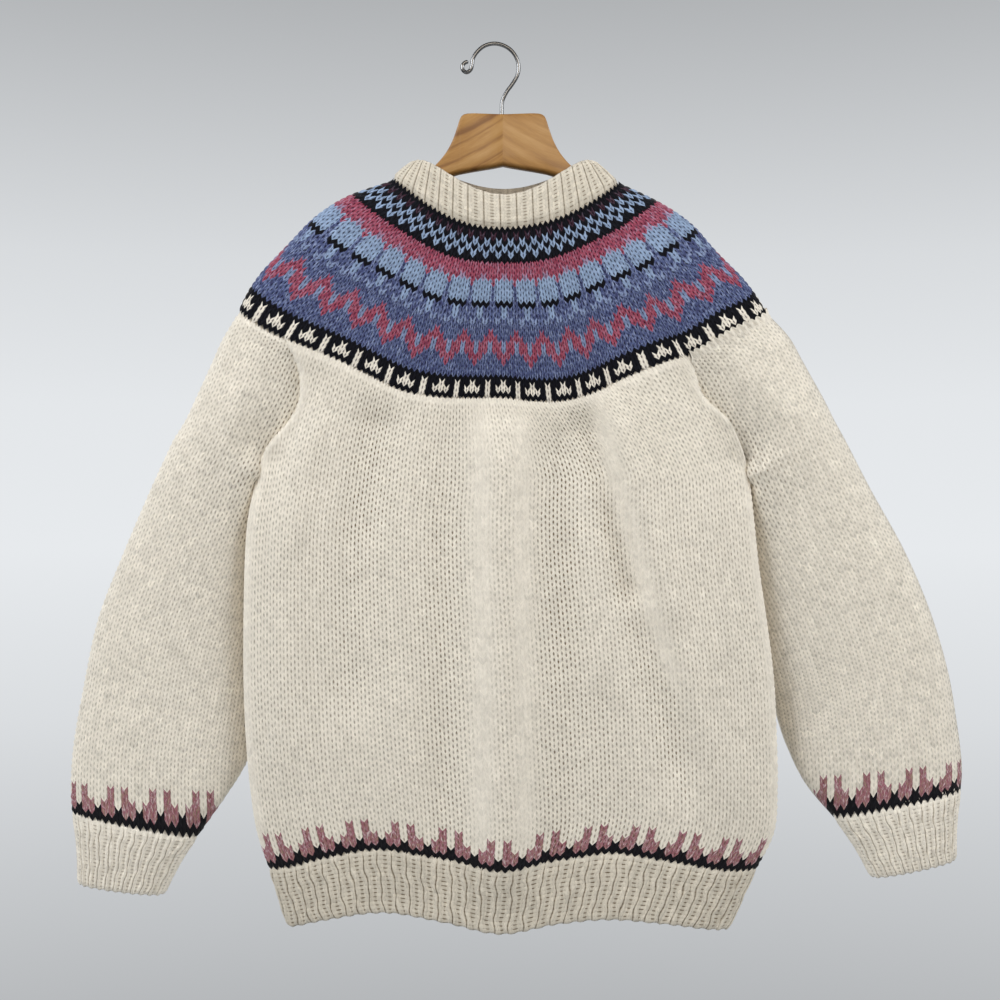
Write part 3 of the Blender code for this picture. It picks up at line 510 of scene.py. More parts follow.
# x, lift at the top of the rib, lift at its end, move to the front
HEM_WAVES = (
    (-240, 0, 0, 0),
    (-205, 1, 1, 0),
    (-160, 13, 12, -1.5),
    (-103, 22, 20, -5),
    (-46, 14, 13, 0),
    (9, 7, 4, 6),
    (60, 12, 11, 0),
    (108, 18, 14, -4),
    (165, 12, 10, 0),
    (225, 1, 1, 1),
    (275, 0, 0, 0),
)

# x and z of a fold's upper end, x and z of its lower end, half width, height
FRONT_FOLDS = (
    (9, -370, 9, -600, 24, 12.5),
    (9, -600, 10, -800, 24, 12),
    (62, -375, 62, -600, 22, -9),
    (62, -600, 58, -790, 20, -6),
    (-42, -390, -44, -780, 24, -6),
    (113, -335, 140, -445, 15, 7.5),
    (140, -445, 172, -553, 16, 8),
    (172, -553, 226, -730, 19, 5.5),
    (85, -350, 112, -445, 17, -8.5),
    (112, -445, 134, -533, 17, -10.5),
    (134, -533, 182, -710, 20, -7),
    (-106, -345, -124, -480, 24, -8),
    (-124, -480, -132, -640, 26, -5),
    (-168, -330, -196, -500, 19, 5.5),
    (-196, -500, -196, -700, 22, 4.5),
    (196, -400, 222, -600, 20, 4.5),
    (96, -620, 118, -790, 24, -4),
    (-92, -610, -76, -790, 26, 3.5),
)
BACK_FOLDS = (
    (-20, -375, -14, -620, 18, 8.5),
    (-14, -620, -8, -800, 18, 9),
    (26, -385, 32, -700, 18, -5.5),
    (95, -360, 130, -480, 18, -6),
    (130, -480, 150, -640, 18, -5),
    (66, -350, 96, -470, 17, 5),
    (-96, -360, -128, -480, 19, -6.5),
    (-128, -480, -142, -640, 19, -5),
    (-70, -420, -84, -700, 20, 4.5),
    (170, -400, 190, -600, 20, 5.5),
)

# Where a fold's flank has less painted shade in its holes: both ends, half width, how much
FRONT_GAP_SHADE_CUT = (
    (-11, -345, -7, -620, 10.5, 1.25),
    (-7, -620, -9, -765, 10.5, 1.2),
    (27, -350, 30, -620, 9.5, 1.2),
    (30, -620, 30, -765, 9.5, 1),
    (98, -340, 120, -431, 9, 1.25),
    (120, -431, 150, -544, 9, 1.25),
    (150, -544, 174, -612, 9, 1),
)
BACK_GAP_SHADE_CUT = (
    (-32, -360, -26, -760, 9, 1.2),
    (-4, -360, 6, -760, 9, 1),
    (80, -350, 118, -480, 9, 1.1),
    (118, -480, 140, -600, 9, 0.9),
)

# Border over the ribs, worked down: m rose, k black
BORDER = ("cmcmcc", "cmcmcc", "mmcmmc", "mmkmmk", "kkkkkk")


def fold_lift(table, x, z):
    """How far folds lift the cloth: a bell across each fold, faded at its two ends."""
    lift = np.zeros(np.broadcast(x, z).shape)
    for x0, z0, x1, z1, width, height in table:
        length = math.hypot(x1 - x0, z1 - z0)
        dx = (x1 - x0) / length
        dz = (z1 - z0) / length
        along = ((x - x0) * dx + (z - z0) * dz) / length
        off = (x - x0) * dz - (z - z0) * dx
        ends = np.clip(np.minimum(along + 0.18, 1.18 - along) / 0.36, 0, 1)
        lift = lift + height * ends * ends * (3 - 2 * ends) * np.exp(-((off / width) ** 2))
    return lift


def body_level(level, s, back, table=BODY, end=0, folded=True):
    """Half a section of the body, s from its left side to its right: straight across, and
    set to the front or back by a blunt oval, with the hem's waves and the folds."""
    z0, left, right, side_y, front_y, back_y, waves = (look(table, i, level) for i in range(1, 8))
    sigma = 2 * s - 1
    xi = 0.86 * sigma + 0.14 * np.sin(sigma * math.pi / 2)
    x = (left + right) / 2 + xi * (right - left) / 2
    deep, square, blunt = (back_y, 3.0, 0.58) if back else (front_y, 3.4, 0.5)
    y = side_y + (deep - side_y) * np.clip(1 - np.abs(xi) ** square, 0, 1) ** blunt
    mirror = left + right - x if back else x
    lift_z = look(HEM_WAVES, 1, mirror) * (1 - end) + look(HEM_WAVES, 2, mirror) * end
    z = z0 + waves * lift_z * (0.8 if back else 1.0)
    push = waves * look(HEM_WAVES, 3, mirror)
    flat = np.clip(np.minimum(s, 1 - s) / 0.07, 0, 1)
    lift = fold_lift(BACK_FOLDS if back else FRONT_FOLDS, x, z) * flat * folded
    y = y + (push + lift) * (0.8 if back else -1.0)
    return stack(x, y, z)


def yoke_at(repeat, share, back):
    """The yoke at a repeat counted from the left shoulder, over the front or over the back."""
    return yoke_point(REPEATS - repeat if back else repeat, share)


def crease_line(left_side, share, back, inset=0.0):
    """The armhole crease, drawn so that it starts on the yoke's edge."""
    columns = (1 if left_side else 2, 6 if back else 5, 3 if left_side else 4)
    line = stack(*(look(CREASE, k, share) for k in columns))
    line[..., 0] += inset if left_side else -inset
    start = yoke_at(ARM_LEFT if left_side else ARM_RIGHT, 1.0, back)
    first = np.array([CREASE[0][k] for k in columns])
    return line + (start - first) * np.clip(1 - share / 0.5, 0, 1)[..., None] ** 2


def ease(x, low, high):
    """0 below low and 1 above high, with a smooth passage."""
    t = np.clip((x - low) / (high - low), 0, 1)
    return t * t * (3 - 2 * t)


def body_upper(share, s, back):
    """The panel from the yoke's edge to the underarm: a mix of both lines, steeper at first.
    Beside an armhole it comes out to the crease's depth, rolls over a soft edge, a quarter of
    a circle, and runs on behind it.  Gives the points and how far each lies past an edge."""
    repeat = ARM_LEFT + (ARM_RIGHT - ARM_LEFT) * s
    top = yoke_at(repeat, 1.0, back)
    bottom = body_level(np.zeros_like(s), s, back, folded=False)
    part = share[:, None]
    points = top * (1 - part[..., None]) + bottom * part[..., None]
    points[..., 0] = top[:, 0] + (bottom[:, 0] - top[:, 0]) * (1.3 * part - 0.3 * part**3)
    way = 1 if back else -1
    near = np.minimum(s, 1 - s)[None, :]
    fade = np.clip(share * 2.5, 0, 1)[:, None]
    lift = fold_lift(BACK_FOLDS if back else FRONT_FOLDS, points[..., 0], points[..., 2]) * fade
    points[..., 1] += way * lift * np.clip(near / 0.07, 0, 1) * (0.8 if back else 1.0)
    behind = np.full(points.shape[:2], -99.0)
    for left_side in (True, False):
        inward = 1 if left_side else -1
        crease = crease_line(left_side, np.linspace(0, 1, 60), back)[::-1]
        edge_x = np.interp(points[..., 2], crease[:, 2], crease[:, 0])
        edge_y = np.interp(points[..., 2], crease[:, 2], crease[:, 1])
        past = (points[..., 0] - edge_x) * inward
        folded = ease(part, 0.0, 0.2) * ease(-part, -1.0, -0.8)
        t = np.clip(past / ROLL, 0, 1)
        roll = ROLL * (1 - np.sqrt(1 - (1 - t) ** 2))
        out = (edge_y - points[..., 1]) * np.exp(-((np.clip(past, 0, None) / 26) ** 2))
        under = np.clip(-past, 0, None)
        points[..., 1] += folded * (out - way * (roll + 0.45 * under))
        points[..., 0] += np.where(past < 0, (1 + 0.5 * folded) * under, 0) * inward
        behind = np.maximum(behind, -past)
    return points, behind


def lengths_down(points):
    """Length along points, or down the columns of a grid, from the first one to each."""
    steps = np.linalg.norm(np.diff(points, axis=0), axis=-1)
    return np.concatenate([np.zeros((1, *steps.shape[1:])), np.cumsum(steps, axis=0)])


def normals_of(grid):
    """Outward direction on a grid: across its way down and its way right."""
    return unit(np.cross(np.gradient(grid, axis=0), np.gradient(grid, axis=1)))


def between(x, places, rows):
    """Rows of numbers at rising places, read in straight lines at x."""
    return np.stack([np.interp(x, places, rows[:, k]) for k in range(rows.shape[1])], axis=-1)


def read_down(levels, grid, wanted):
    """A grid read again: in each column, at the wanted levels."""
    columns = range(grid.shape[1])
    return np.stack([between(wanted[:, c], levels[:, c], grid[:, c]) for c in columns], axis=1)


def border_letters(rounds, count, shift=0):
    """Cream stitches with the border in their last rounds."""
    letters = np.full((rounds, count), "c")
    chart = np.array([list(line) for line in BORDER])
    letters[-len(BORDER) :] = chart[:, (np.arange(count) + shift) % chart.shape[1]]
    return letters


def body_half(back, level_lines):
    """One half of the body: points of the knitting, and the direction out at each."""
    s = np.arange(BODY_STITCHES * SPLIT + 1) / SPLIT / BODY_STITCHES
    share = np.linspace(0, 1, 60)
    upper, behind = body_upper(share, s, back)
    level = np.linspace(0, BODY[-1][0], 160)
    lower = body_level(level[1:, None], s[None, :], back)
    repeat = ARM_LEFT + (ARM_RIGHT - ARM_LEFT) * s
    over = yoke_at(repeat, 1 - 1 / YOKE_ROUNDS, back)
    grid = np.concatenate([over[None], upper, lower])
    front_upper = upper if not back else body_upper(share, s, False)[0]
    upper_length = lengths_down(front_upper[..., [0, 2]])[-1]
    lower_length = lengths_down(np.concatenate([upper[-1:], lower])[..., [0, 2]])
    turn = BODY_ROUNDS * upper_length / (upper_length + lower_length[-1])
    down_upper = lengths_down(upper[..., [0, 2]])
    first = np.full((1, len(s)), -1.0)
    rest = turn + (BODY_ROUNDS - turn) * lower_length[1:] / lower_length[-1]
    levels = np.concatenate([first, turn * down_upper / down_upper[-1], rest])
    out = normals_of(grid)
    if back:
        out = -out
    seam = len(share)
    for side, way in ((0, -1.0), (-1, 1.0)):
        out[seam + 1 :, side] = unit(out[seam + 1 :, side] * 0.3 + np.array([way, 0, 0]))
    at_side = np.broadcast_to(-BODY_WIDTH * np.minimum(s, 1 - s), lower.shape[:2])
    hidden = np.concatenate([behind[:1], behind, at_side])
    read = read_down(levels, np.concatenate([grid, out, hidden[..., None]], axis=-1), level_lines)
    return read[..., :3], unit(read[..., 3:6]), turn, read[..., 6]


def plain_lines(stitches, rounds):
    """Half a tube of stocking stitch: its mesh columns, its lines in rounds down, which follow
    the legs, and the height of the legs.  One line more on top lies under what it hangs from."""
    u = np.arange(stitches * SPLIT + 1) / SPLIT
    edge = np.abs(2 * np.mod(u, 1.0) - 1)
    steps = np.arange(-1, rounds * FINE + 1)
    height = stitch_form(edge[None, :], np.mod(steps, FINE)[:, None] / FINE)
    return u, np.clip(steps[:, None] / FINE - LEAN * edge[None, :], -1, rounds), height


def half_sheet(points, colours, gap_shades, u, shown, turned):
    """Half a tube as points, gaps, faces, yarns and counted stitches: those of its faces that
    have a corner shown.  A turned half's columns run the other way round."""
    steps = np.arange(-1, len(gap_shades) - 1)
    faces = grid_faces(*gap_shades.shape, False)
    counted = grid_stitches(steps / FINE, u)
    if turned:
        faces, counted = faces[:, ::-1], counted[:, ::-1]
    kept = shown.ravel()[faces].any(axis=1)
    rounds = np.clip(steps[:-1] // FINE, 0, len(colours) - 1)
    yarns = np.repeat(colours[rounds], SPLIT, axis=1).reshape(-1, 4)
    return points.reshape(-1, 3), gap_shades.ravel(), faces[kept], yarns[kept], counted[kept]


def join_halves(name, front, back, mat, cut):
    """Both halves in one mesh, points within a hundredth of a millimetre of each other made one.
    Where columns run out the faces are cut into triangles, and those with no area left out."""
    points, gap_shades, faces, yarns, counted = (np.concatenate(pair) for pair in zip(front, back))
    faces[len(front[2]) :] += len(front[0])
    keys = np.round(points * 100).astype(np.int64)
    _, first, new = np.unique(keys, axis=0, return_index=True, return_inverse=True)
    faces = new.reshape(-1)[faces]
    if cut:
        faces = np.vstack([faces[:, [0, 1, 2]], faces[:, [0, 2, 3]]])
        counted = np.vstack([counted[:, [0, 1, 2]], counted[:, [0, 2, 3]]])
        yarns = np.vstack([yarns, yarns])
        sound = (faces != np.roll(faces, 1, axis=1)).all(axis=1)
        faces, counted, yarns = faces[sound], counted[sound], yarns[sound]
    return knit_mesh(name, points[first], faces, yarns, counted, gap_shades[first], mat)


def build_body(mat):
    """The body: two knitted halves, joined down the sides below the underarms.  The painted shade
    in the holes is taken away on the steep flanks of folds and where the cloth rolls over, and
    is deeper in the hollows of folds."""
    u, lines, height = plain_lines(BODY_STITCHES, BODY_ROUNDS)
    rise = height * STITCH_RISE - GROUND - 0.9 * np.clip(1 - 1.5 * lines, 0, 1)
    rise[0] = -BODY_TUCK
    halves = [body_half(back, lines) for back in (False, True)]
    joined = lines > halves[0][2][None, :] + 0.5
    sheets = []
    for back in (0, 1):
        points, out, _, behind = halves[back]
        for side in (0, -1):
            low = joined[:, side]
            points[low, side] = ((halves[0][0][:, side] + halves[1][0][:, side]) / 2)[low]
            out[low, side] = unit(halves[0][1][:, side] + halves[1][1][:, side])[low]
        x, z = points[..., 0], points[..., 2]
        colours = yarn_colours(border_letters(BODY_ROUNDS, BODY_STITCHES, 3 * back), 0.03)
        # Painted shade in the holes: taken away on fold flanks and near an armhole's edge, and made
        # deeper in the hollows of folds
        drawn = np.clip(fold_lift(BACK_GAP_SHADE_CUT if back else FRONT_GAP_SHADE_CUT, x, z), 0, 1)
        closed = np.maximum(drawn, ease(behind, *EDGE_GAP_SHADE_CUT))
        lift = fold_lift(BACK_FOLDS if back else FRONT_FOLDS, x, z)
        gap_shade_base = (0.5 - 0.045 * np.clip(lift, -9, 0)) * (0.6 + 0.8 * rng.random(x.shape))
        gap_shades = gap_shade_base * (1.0 - GAP_SHADE_CUT * closed) * np.clip(lines / 1.5, 0, 1)
        raised = points + out * rise[..., None]
        sheets.append(half_sheet(raised, colours, gap_shades, u + 100 * back, behind < BEHIND, back))
    return join_halves("body_knit", *sheets, mat, False)


cream_wool = worsted_wool("cream_worsted_wool", STOCKING, "#7c705c", "#b9a98f", "#fffaf0")
body = build_body(cream_wool)
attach(body, "root")
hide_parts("body")


# ======================================================================= the ribs
# Hem, cuffs and collar are single rib in the same cream: a column of plain stitches, then
# a column of purl ones.  A plain column is two legs with a thin line between them; a purl
# column is a ladder of low bumps.  The collar is twice as long and folded in.
RIB_RISE = 2.4            # height of a plain column
WALL = 3.0                # from the outside of a rib to its inside
HEM_ROUNDS = 15
RIB_COLUMNS = (0.0, 0.25, 0.42, 0.5, 0.58, 0.75)


def rib_form(u, down):
    """Height of single rib: even stitches are plain, odd ones purl and lie deep between them."""
    purl = np.mod(np.floor(u), 2) > 0.5
    edge = np.abs(2 * np.mod(u, 1.0) - 1)
    bulge = (4 * down * (1 - down)) ** 0.6
    leg = np.clip(1 - np.abs(2 * edge - 1) ** 2.4, 0, 1)
    line = np.clip(1 - edge / 0.3, 0, 1)
    plain_height = 0.6 + 0.4 * leg * (0.7 + 0.3 * bulge) - 0.35 * line
    purl_height = 0.1 + 0.16 * bulge + 0.35 * edge**3
    return np.where(purl, purl_height, plain_height)


def rib_columns(stitches):
    """u of each mesh column of a ribbed ring."""
    return (np.arange(stitches)[:, None] + np.array(RIB_COLUMNS)[None, :]).ravel()


def even_ring(points, share):
    """A closed ring of points read again at shares of its length."""
    closed = np.vstack([points, points[:1]])
    way = lengths_down(closed)
    return between(share * way[-1], way, closed)


def ring_out(ring, axis, near=2):
    """Outward direction on a closed ring, square to an axis or to the direction at each point.
    The way along is taken from the points that many before and after."""
    along = np.roll(ring, -near, axis=0) - np.roll(ring, near, axis=0)
    out = unit(np.cross(along, axis))
    return out if np.sum((ring - ring.mean(axis=0)) * out) > 0 else -out


def rib_mesh(name, rings, steps, rounds, stitches, letter, least, more, turned, mat):
    """Rings of a ribbed tube as a mesh.  Those at the steps are its outside, whose holes take
    painted shade of the least and a random part of more; the others are its inside."""
    u = rib_columns(stitches)
    inside = len(rings) - len(steps)
    faces = grid_faces(len(rings), len(u), True)
    down = np.concatenate([steps / FINE, rounds + 0.4 + np.arange(inside)])
    counted = grid_stitches(down, np.append(u, stitches))
    if turned:
        faces, counted = faces[:, ::-1], counted[:, ::-1]
    colours = yarn_colours(np.full((rounds, stitches), letter))
    rows = np.clip(np.arange(len(rings) - 1) // FINE, 0, rounds - 1)
    yarns = np.repeat(colours[rows], len(RIB_COLUMNS), axis=1).reshape(-1, 4)
    gap_shades = least + more * rng.random((len(steps), len(u)))
    gap_shades = np.concatenate([gap_shades.ravel(), np.full(inside * len(u), 0.4)])
    return knit_mesh(name, np.vstack(rings), faces, yarns, counted, gap_shades, mat)


def ribbed_band(name, ring_at, axis, stitches, rounds, lead, gap_shade, mat, letter="c"):
    """A ribbed tube: outer lines down, a rounded edge, then a plain inside back up.  It starts
    two rounds up, under what it hangs from, in a straight line with what follows.
    ring_at(share, way) gives a ring at a share of the way down; lead is the share of their
    height that the ribs have at the top."""
    u = rib_columns(stitches)
    axis = np.asarray(axis, dtype=float)
    steps = np.arange(-2 * FINE, rounds * FINE + 1)
    shares = steps / (rounds * FINE)

    def carried(share, way):
        if share >= 0:
            return ring_at(share, way)
        return ring_at(0.0, way) + (ring_at(0.1, way) - ring_at(0.0, way)) * share / 0.1

    height = rib_form(u[None, :], np.mod(steps, FINE)[:, None] / FINE)
    opening = np.clip(shares / 0.12, 0, 1)[:, None]
    closing = np.clip((1 - shares) / 0.07, 0, 1)[:, None] ** 0.5
    rise = (height * RIB_RISE * (lead + (1 - lead) * opening) - 0.6) * closing - 1.0 * (1 - closing)
    above = -steps[:, None] / FINE
    rise = rise - 1.3 * np.clip(above, 0, 1) - 0.5 * np.clip(above - 1, 0, 1)
    phase = np.interp(u, np.arange(stitches + 1), np.append(rng.random(stitches) * 5, 2.5))
    rings = []
    for i, share in enumerate(shares):
        stray = 0.13 * np.sin(steps[i] * 0.33 + phase) + 0.08 * np.sin(steps[i] * 0.71 + 2 * phase)
        ring = carried(share, np.mod((u + stray) / stitches, 1.0))
        out = ring_out(carried(share, u / stitches), axis)
        scallop = 0.8 * np.cos(math.pi * u) * max(0.0, share - 0.9) / 0.1
        rings.append(ring + out * rise[i][:, None] + scallop[:, None] * unit(axis))
    for share in (1.0, 0.92, 0.82):
        ring = ring_at(share, u / stitches)
        rings.append(ring - ring_out(ring, axis) * WALL * (0.75 if share == 1 else 1.0))
    # Painted shade in the holes of the ribs, faded out at the top
    fading = gap_shade * np.clip(shares / 0.06, 0, 1)[:, None]
    return rib_mesh(name, rings, steps, rounds, stitches, letter, 0.75 * fading, 0.5 * fading, False, mat)


def hem_ring(share, way):
    """The hem's section: the body's last one passing into the rib's end, laid out so that a
    rib column hangs under each stitch of the body."""
    s = np.linspace(0, 1, BODY_STITCHES * SPLIT + 1)
    level = np.full_like(s, BODY[-1][0] + share)
    front, back = (body_level(level, s, side, (BODY[-1], HEM_END), share) for side in (False, True))
    closed = np.vstack([front, back[-2:0:-1], front[:1]])
    places = np.arange(len(closed)) / (len(closed) - 1)
    return between(way, places, closed)


ribbed_wool = worsted_wool("cream_ribbed_wool", RIB, "#7a6a52", "#b9a98f", "#fffaf0")
# The hem's yarn n is the cream a shade darker: painted shade
hem = ribbed_band(
    "hem_knit", hem_ring, (0, 0, 1), BODY_STITCHES * 2, HEM_ROUNDS, 0.55, 0.9, ribbed_wool, "n"
)
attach(hem, "root")
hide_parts("hem_rib")


# ======================================================================= the sleeves
# Full sleeves of the same stocking stitch, knitted on from the yoke's edge and grafted to
# the body at the underarm.  Their wales follow the outer edge and run out at the underarm
# side, where the sleeve was narrowed.  The same border lies over each ribbed cuff.
SLEEVE_ROUNDS = 89
SLEEVE_STITCHES = 28      # at most, across the front and across the back
SLEEVE_STITCH = 6.8       # width of a stitch
SLEEVE_TUCK = 3.0         # how far the sleeve's line on top lies under the yoke
RUN_OUT = 4.0             # how near the inner edge the stitches get flat
CUFF_STITCHES = 46
CUFF_ROUNDS = 18
CAP_LINES = 60
SLEEVE_LINES = 200

# share of the way down the armhole, left outer x, right outer x, outer z
CAP = (
    (0, -244.4, 265.8, -258.7),
    (0.225, -260.9, 289.1, -284.2),
    (0.378, -269.7, 299.7, -303.6),
    (0.531, -278.4, 310.4, -323),
    (0.684, -287.1, 321.1, -342.4),
    (0.837, -295.8, 330.8, -361.8),
    (1, -307.5, 341.4, -381.2),
)

# level, outer x, outer z, inner x, inner z, middle y, half depth, inner side to the back
SLEEVE_LEFT = (
    (0, -307.5, -381.2, -228.4, -420.5, 0, 23, -6),
    (1, -331.7, -431.6, -231.5, -483, 4, 25, 8),
    (2, -359.9, -495.7, -232.5, -546, 7, 25.5, 9),
    (3, -383.1, -555.8, -231, -599.5, 8, 25, 8),
    (4, -397.7, -623.7, -231, -650.9, 8, 24, 6),
    (5, -406.4, -677.1, -238.6, -691.6, 6, 22.5, 3),
    (6, -408.4, -715.9, -258, -725.6, 4, 20.5, 0),
    (7, -406.4, -743, -287.1, -767.3, 2, 18, 0),
)
SLEEVE_RIGHT = (
    (0, 341.4, -381.2, 249.2, -420.5, 0, 23, -6),
    (1, 367.6, -429.7, 249.5, -485, 4, 25, 8),
    (2, 400.6, -487.9, 254, -548, 7, 25.5, 9),
    (3, 425.8, -546.1, 261, -602.4, 8, 25, 8),
    (4, 443.3, -604.3, 275.5, -638.3, 8, 24, 6),
    (5, 452, -657.7, 286.1, -674.1, 6, 22.5, 3),
    (6, 455.9, -696.5, 304.6, -713.9, 4, 20.5, 0),
    (7, 454, -721.7, 332.7, -747.9, 2, 18, 0),
)
CUFF_LEFT = (8, -400.6, -810.9, -318.5, -821.6, 1, 13.5, 0)
CUFF_RIGHT = (8, 449.1, -787.7, 368.6, -805.1, 1, 13.5, 0)


def sleeve_section(table, level, turn):
    """A blunt oval across the sleeve: turn 0 is its inner side, half a turn its outer one."""
    outer_x, outer_z, inner_x, inner_z, mid_y, half, behind = (look(table, i, level) for i in range(1, 8))
    angle = 2 * math.pi * turn
    c = np.cos(angle)
    side = np.sign(c) * np.abs(c) ** 0.86
    deep = np.sign(np.sin(angle)) * np.abs(np.sin(angle)) ** 0.8
    x = (inner_x + outer_x) / 2 + side * (inner_x - outer_x) / 2
    z = (inner_z + outer_z) / 2 + side * (inner_z - outer_z) / 2
    return stack(x, mid_y - half * deep + behind * ((1 + side) / 2) ** 4, z)


def cap_repeat(left_side, p):
    """The yoke's repeat at p of the way from a sleeve's outer edge to the crease."""
    start = 0.0 if left_side else REPEATS / 2
    return start + ((ARM_LEFT if left_side else ARM_RIGHT) - start) * p


def cap_rows(table, left_side, back, p):
    """Rows over the armhole, p from the outer edge to the crease.  Their ends go down the
    outer edge and the crease together, and their form passes from the yoke's edge to the
    oval at the underarm."""
    share = np.linspace(0, 1, CAP_LINES)
    way = -1 if back else 1
    edge_row = yoke_at(cap_repeat(left_side, p), 1.0, back)
    oval = sleeve_section(table, np.zeros_like(p), way * (0.5 - 0.5 * p))
    outer = stack(look(CAP, 1 if left_side else 2, share), 0.0 * share, look(CAP, 3, share))
    outer[0] = edge_row[0]
    inner = crease_line(left_side, share, back, 6.0 * ease(share, 0.0, 0.15))
    deeper = 9.0 * ease(share, 0.0, 0.3) * ease(-share, -1.0, -0.85) * way
    flat = ease(share, 0.0, 0.5) * ease(-share, -1.0, -0.7)
    rows = []
    for row, weight in ((edge_row, 1 - share), (oval, share)):
        chord = row[-1] - row[0]
        across = ((row - row[0]) @ chord) / (chord @ chord)
        off = row - row[0] - across[:, None] * chord
        off[:, 1] = row[:, 1] - row[0, 1] - (row[-1, 1] - row[0, 1]) * across
        near = np.exp(-(((1 - across) / 0.3) ** 2))
        ends = outer[:, None] + (inner - outer)[:, None] * across[None, :, None]
        lift = np.repeat(off[None], CAP_LINES, axis=0)
        lift[..., 1] *= 1 - 0.85 * flat[:, None] * near[None, :]
        lift[..., 1] += deeper[:, None] * near[None, :]
        rows.append((ends + lift) * weight[:, None, None])
    return rows[0] + rows[1]


def sleeve_half(table, left_side, back, distances, lines):
    """One half of a sleeve: dense rows from the yoke's edge to the cuff, read at distances
    from the outer edge and at rounds down it.  Past a row's length a column stays on the
    inner edge."""
    p = 0.5 - 0.5 * np.cos(math.pi * np.linspace(0, 1, 81))
    cap = cap_rows(table, left_side, back, p)
    level = np.linspace(0, table[-1][0], SLEEVE_LINES)[1:]
    way = -1 if back else 1
    rest = sleeve_section(table, level[:, None], way * (0.5 - 0.5 * p)[None, :])
    over = yoke_at(cap_repeat(left_side, p), 1 - 1 / YOKE_ROUNDS, back)
    rows = np.concatenate([over[None], cap, rest])
    lengths = lengths_down(rows.swapaxes(0, 1)).T
    out = normals_of(rows) * (1 if left_side != back else -1) * (1 if left_side else -1)
    out[:, 0] = unit(out[:, 0] * 0.2 + np.array([-1.0 if left_side else 1.0, 0.0, 0.3]))
    both = np.concatenate([rows, out], axis=-1)
    laid = np.stack([between(distances, *row) for row in zip(lengths, both)])
    along = lengths_down(laid[1:, 0, [0, 2]])
    level = np.concatenate([[-1.0], along / along[-1] * lines.max()])
    room = np.interp(lines, level, lengths[:, -1])
    read = read_down(np.repeat(level[:, None], len(distances), axis=1), laid, lines)
    return read[..., :3], unit(read[..., 3:]), room


def build_sleeve(name, table, left_side, mat):
    """A sleeve: a front and a back half that meet along the outer edge and the inner one.  Near
    the armhole crease the holes between stitches take more painted shade."""
    u, lines, height = plain_lines(SLEEVE_STITCHES, SLEEVE_ROUNDS)
    distances = u * SLEEVE_STITCH
    letters = border_letters(SLEEVE_ROUNDS, SLEEVE_STITCHES)
    sheets = []
    for back in (False, True):
        points, out, room = sleeve_half(table, left_side, back, distances, lines)
        left_over = np.clip((room - distances[None, :]) / RUN_OUT, 0, 1)
        rise = height * STITCH_RISE * left_over - GROUND - 2.0 * np.clip(1 - 1.3 * lines, 0, 1)
        rise[0] = -SLEEVE_TUCK
        points = points + out * rise[..., None]
        colours = yarn_colours(letters)
        x, z = points[..., 0], points[..., 2]
        # Painted shade: the holes near the armhole crease are darker
        crease = crease_line(left_side, np.linspace(0, 1, 60), back)[::-1]
        away = np.abs(x - np.interp(z, crease[:, 2], crease[:, 0]))
        away = np.where(z > crease[0, 2] - 60, away, 99.0)
        gap_shade_base = (0.38 + 0.35 * np.exp(-((away / 30) ** 2))) * (0.6 + 0.8 * rng.random(x.shape))
        gap_shades = gap_shade_base * left_over * np.clip(lines / 1.5, 0, 1)
        shown = distances[None, :] < room
        sheets.append(half_sheet(points, colours, gap_shades, u + 100 * back, shown, left_side == back))
    return join_halves(name, *sheets, mat, True)


def cuff_ring(table, end):
    """The cuff's section: the sleeve's last one drawn in to the cuff's end."""
    rows = (table[-1], end)

    def ring_at(share, way):
        turn = np.linspace(0, 1, 240, endpoint=False)
        ring = sleeve_section(rows, np.full_like(turn, table[-1][0] + share), turn)
        centre = ring.mean(axis=0)
        waist = 1 - 0.04 * math.sin(math.pi * share)
        ring = centre + (ring - centre) * np.array([waist, 1.0, waist])
        return even_ring(ring, way)

    return ring_at


for name, table, end in (("left", SLEEVE_LEFT, CUFF_LEFT), ("right", SLEEVE_RIGHT, CUFF_RIGHT)):
    sleeve = build_sleeve(f"sleeve_{name}_knit", table, name == "left", cream_wool)
    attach(sleeve, "root")
    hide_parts(f"sleeve_{name}")
    top = table[-1]
    axis = (end[1] + end[3] - top[1] - top[3], 0.0, end[2] + end[4] - top[2] - top[4])
    ring_at = cuff_ring(table, end)
    cuff = ribbed_band(
        f"cuff_{name}_knit", ring_at, axis, CUFF_STITCHES, CUFF_ROUNDS, 0.5, 0.6, ribbed_wool
    )
    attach(cuff, "root")
    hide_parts(f"cuff_{name}")


# ======================================================================= the collar
# Single rib picked up from the yoke's first round, knitted twice as long, folded in and
# sewn down inside, so that it stands as a double wall with a soft rounded rim.
COLLAR_STITCHES = 68
COLLAR_ROUNDS = 12
# The rim's middle and half width, its top, and how far it sags and stands off: front, back
RIM_X = (11.4, 84.0)
RIM_TOP = -111.0
RIM_SAG = (39.0, 21.0)
RIM_Y = (-33.0, 24.0)
# share of the way up, swell, strength of the ribs
COLLAR_PROFILE = (
    (0, -1.6, 0.15),
    (0.08, -0.9, 0.3),
    (0.2, 1.2, 1),
    (0.5, 1.8, 1),
    (0.82, 1, 1),
    (0.96, -0.6, 0.7),
    (1, -2, 0.3),
)
# share of the way up, place across
COLLAR_INSIDE = ((0.995, -3.4), (0.96, -4.6), (0.85, -5.2), (0.5, -4.4), (0.0, -3.0), (0.0, -0.6))


def look_straight(table, index, x):
    """A column of a table, read in straight lines at x in its first column."""
    return np.interp(x, column(table, 0), column(table, index))


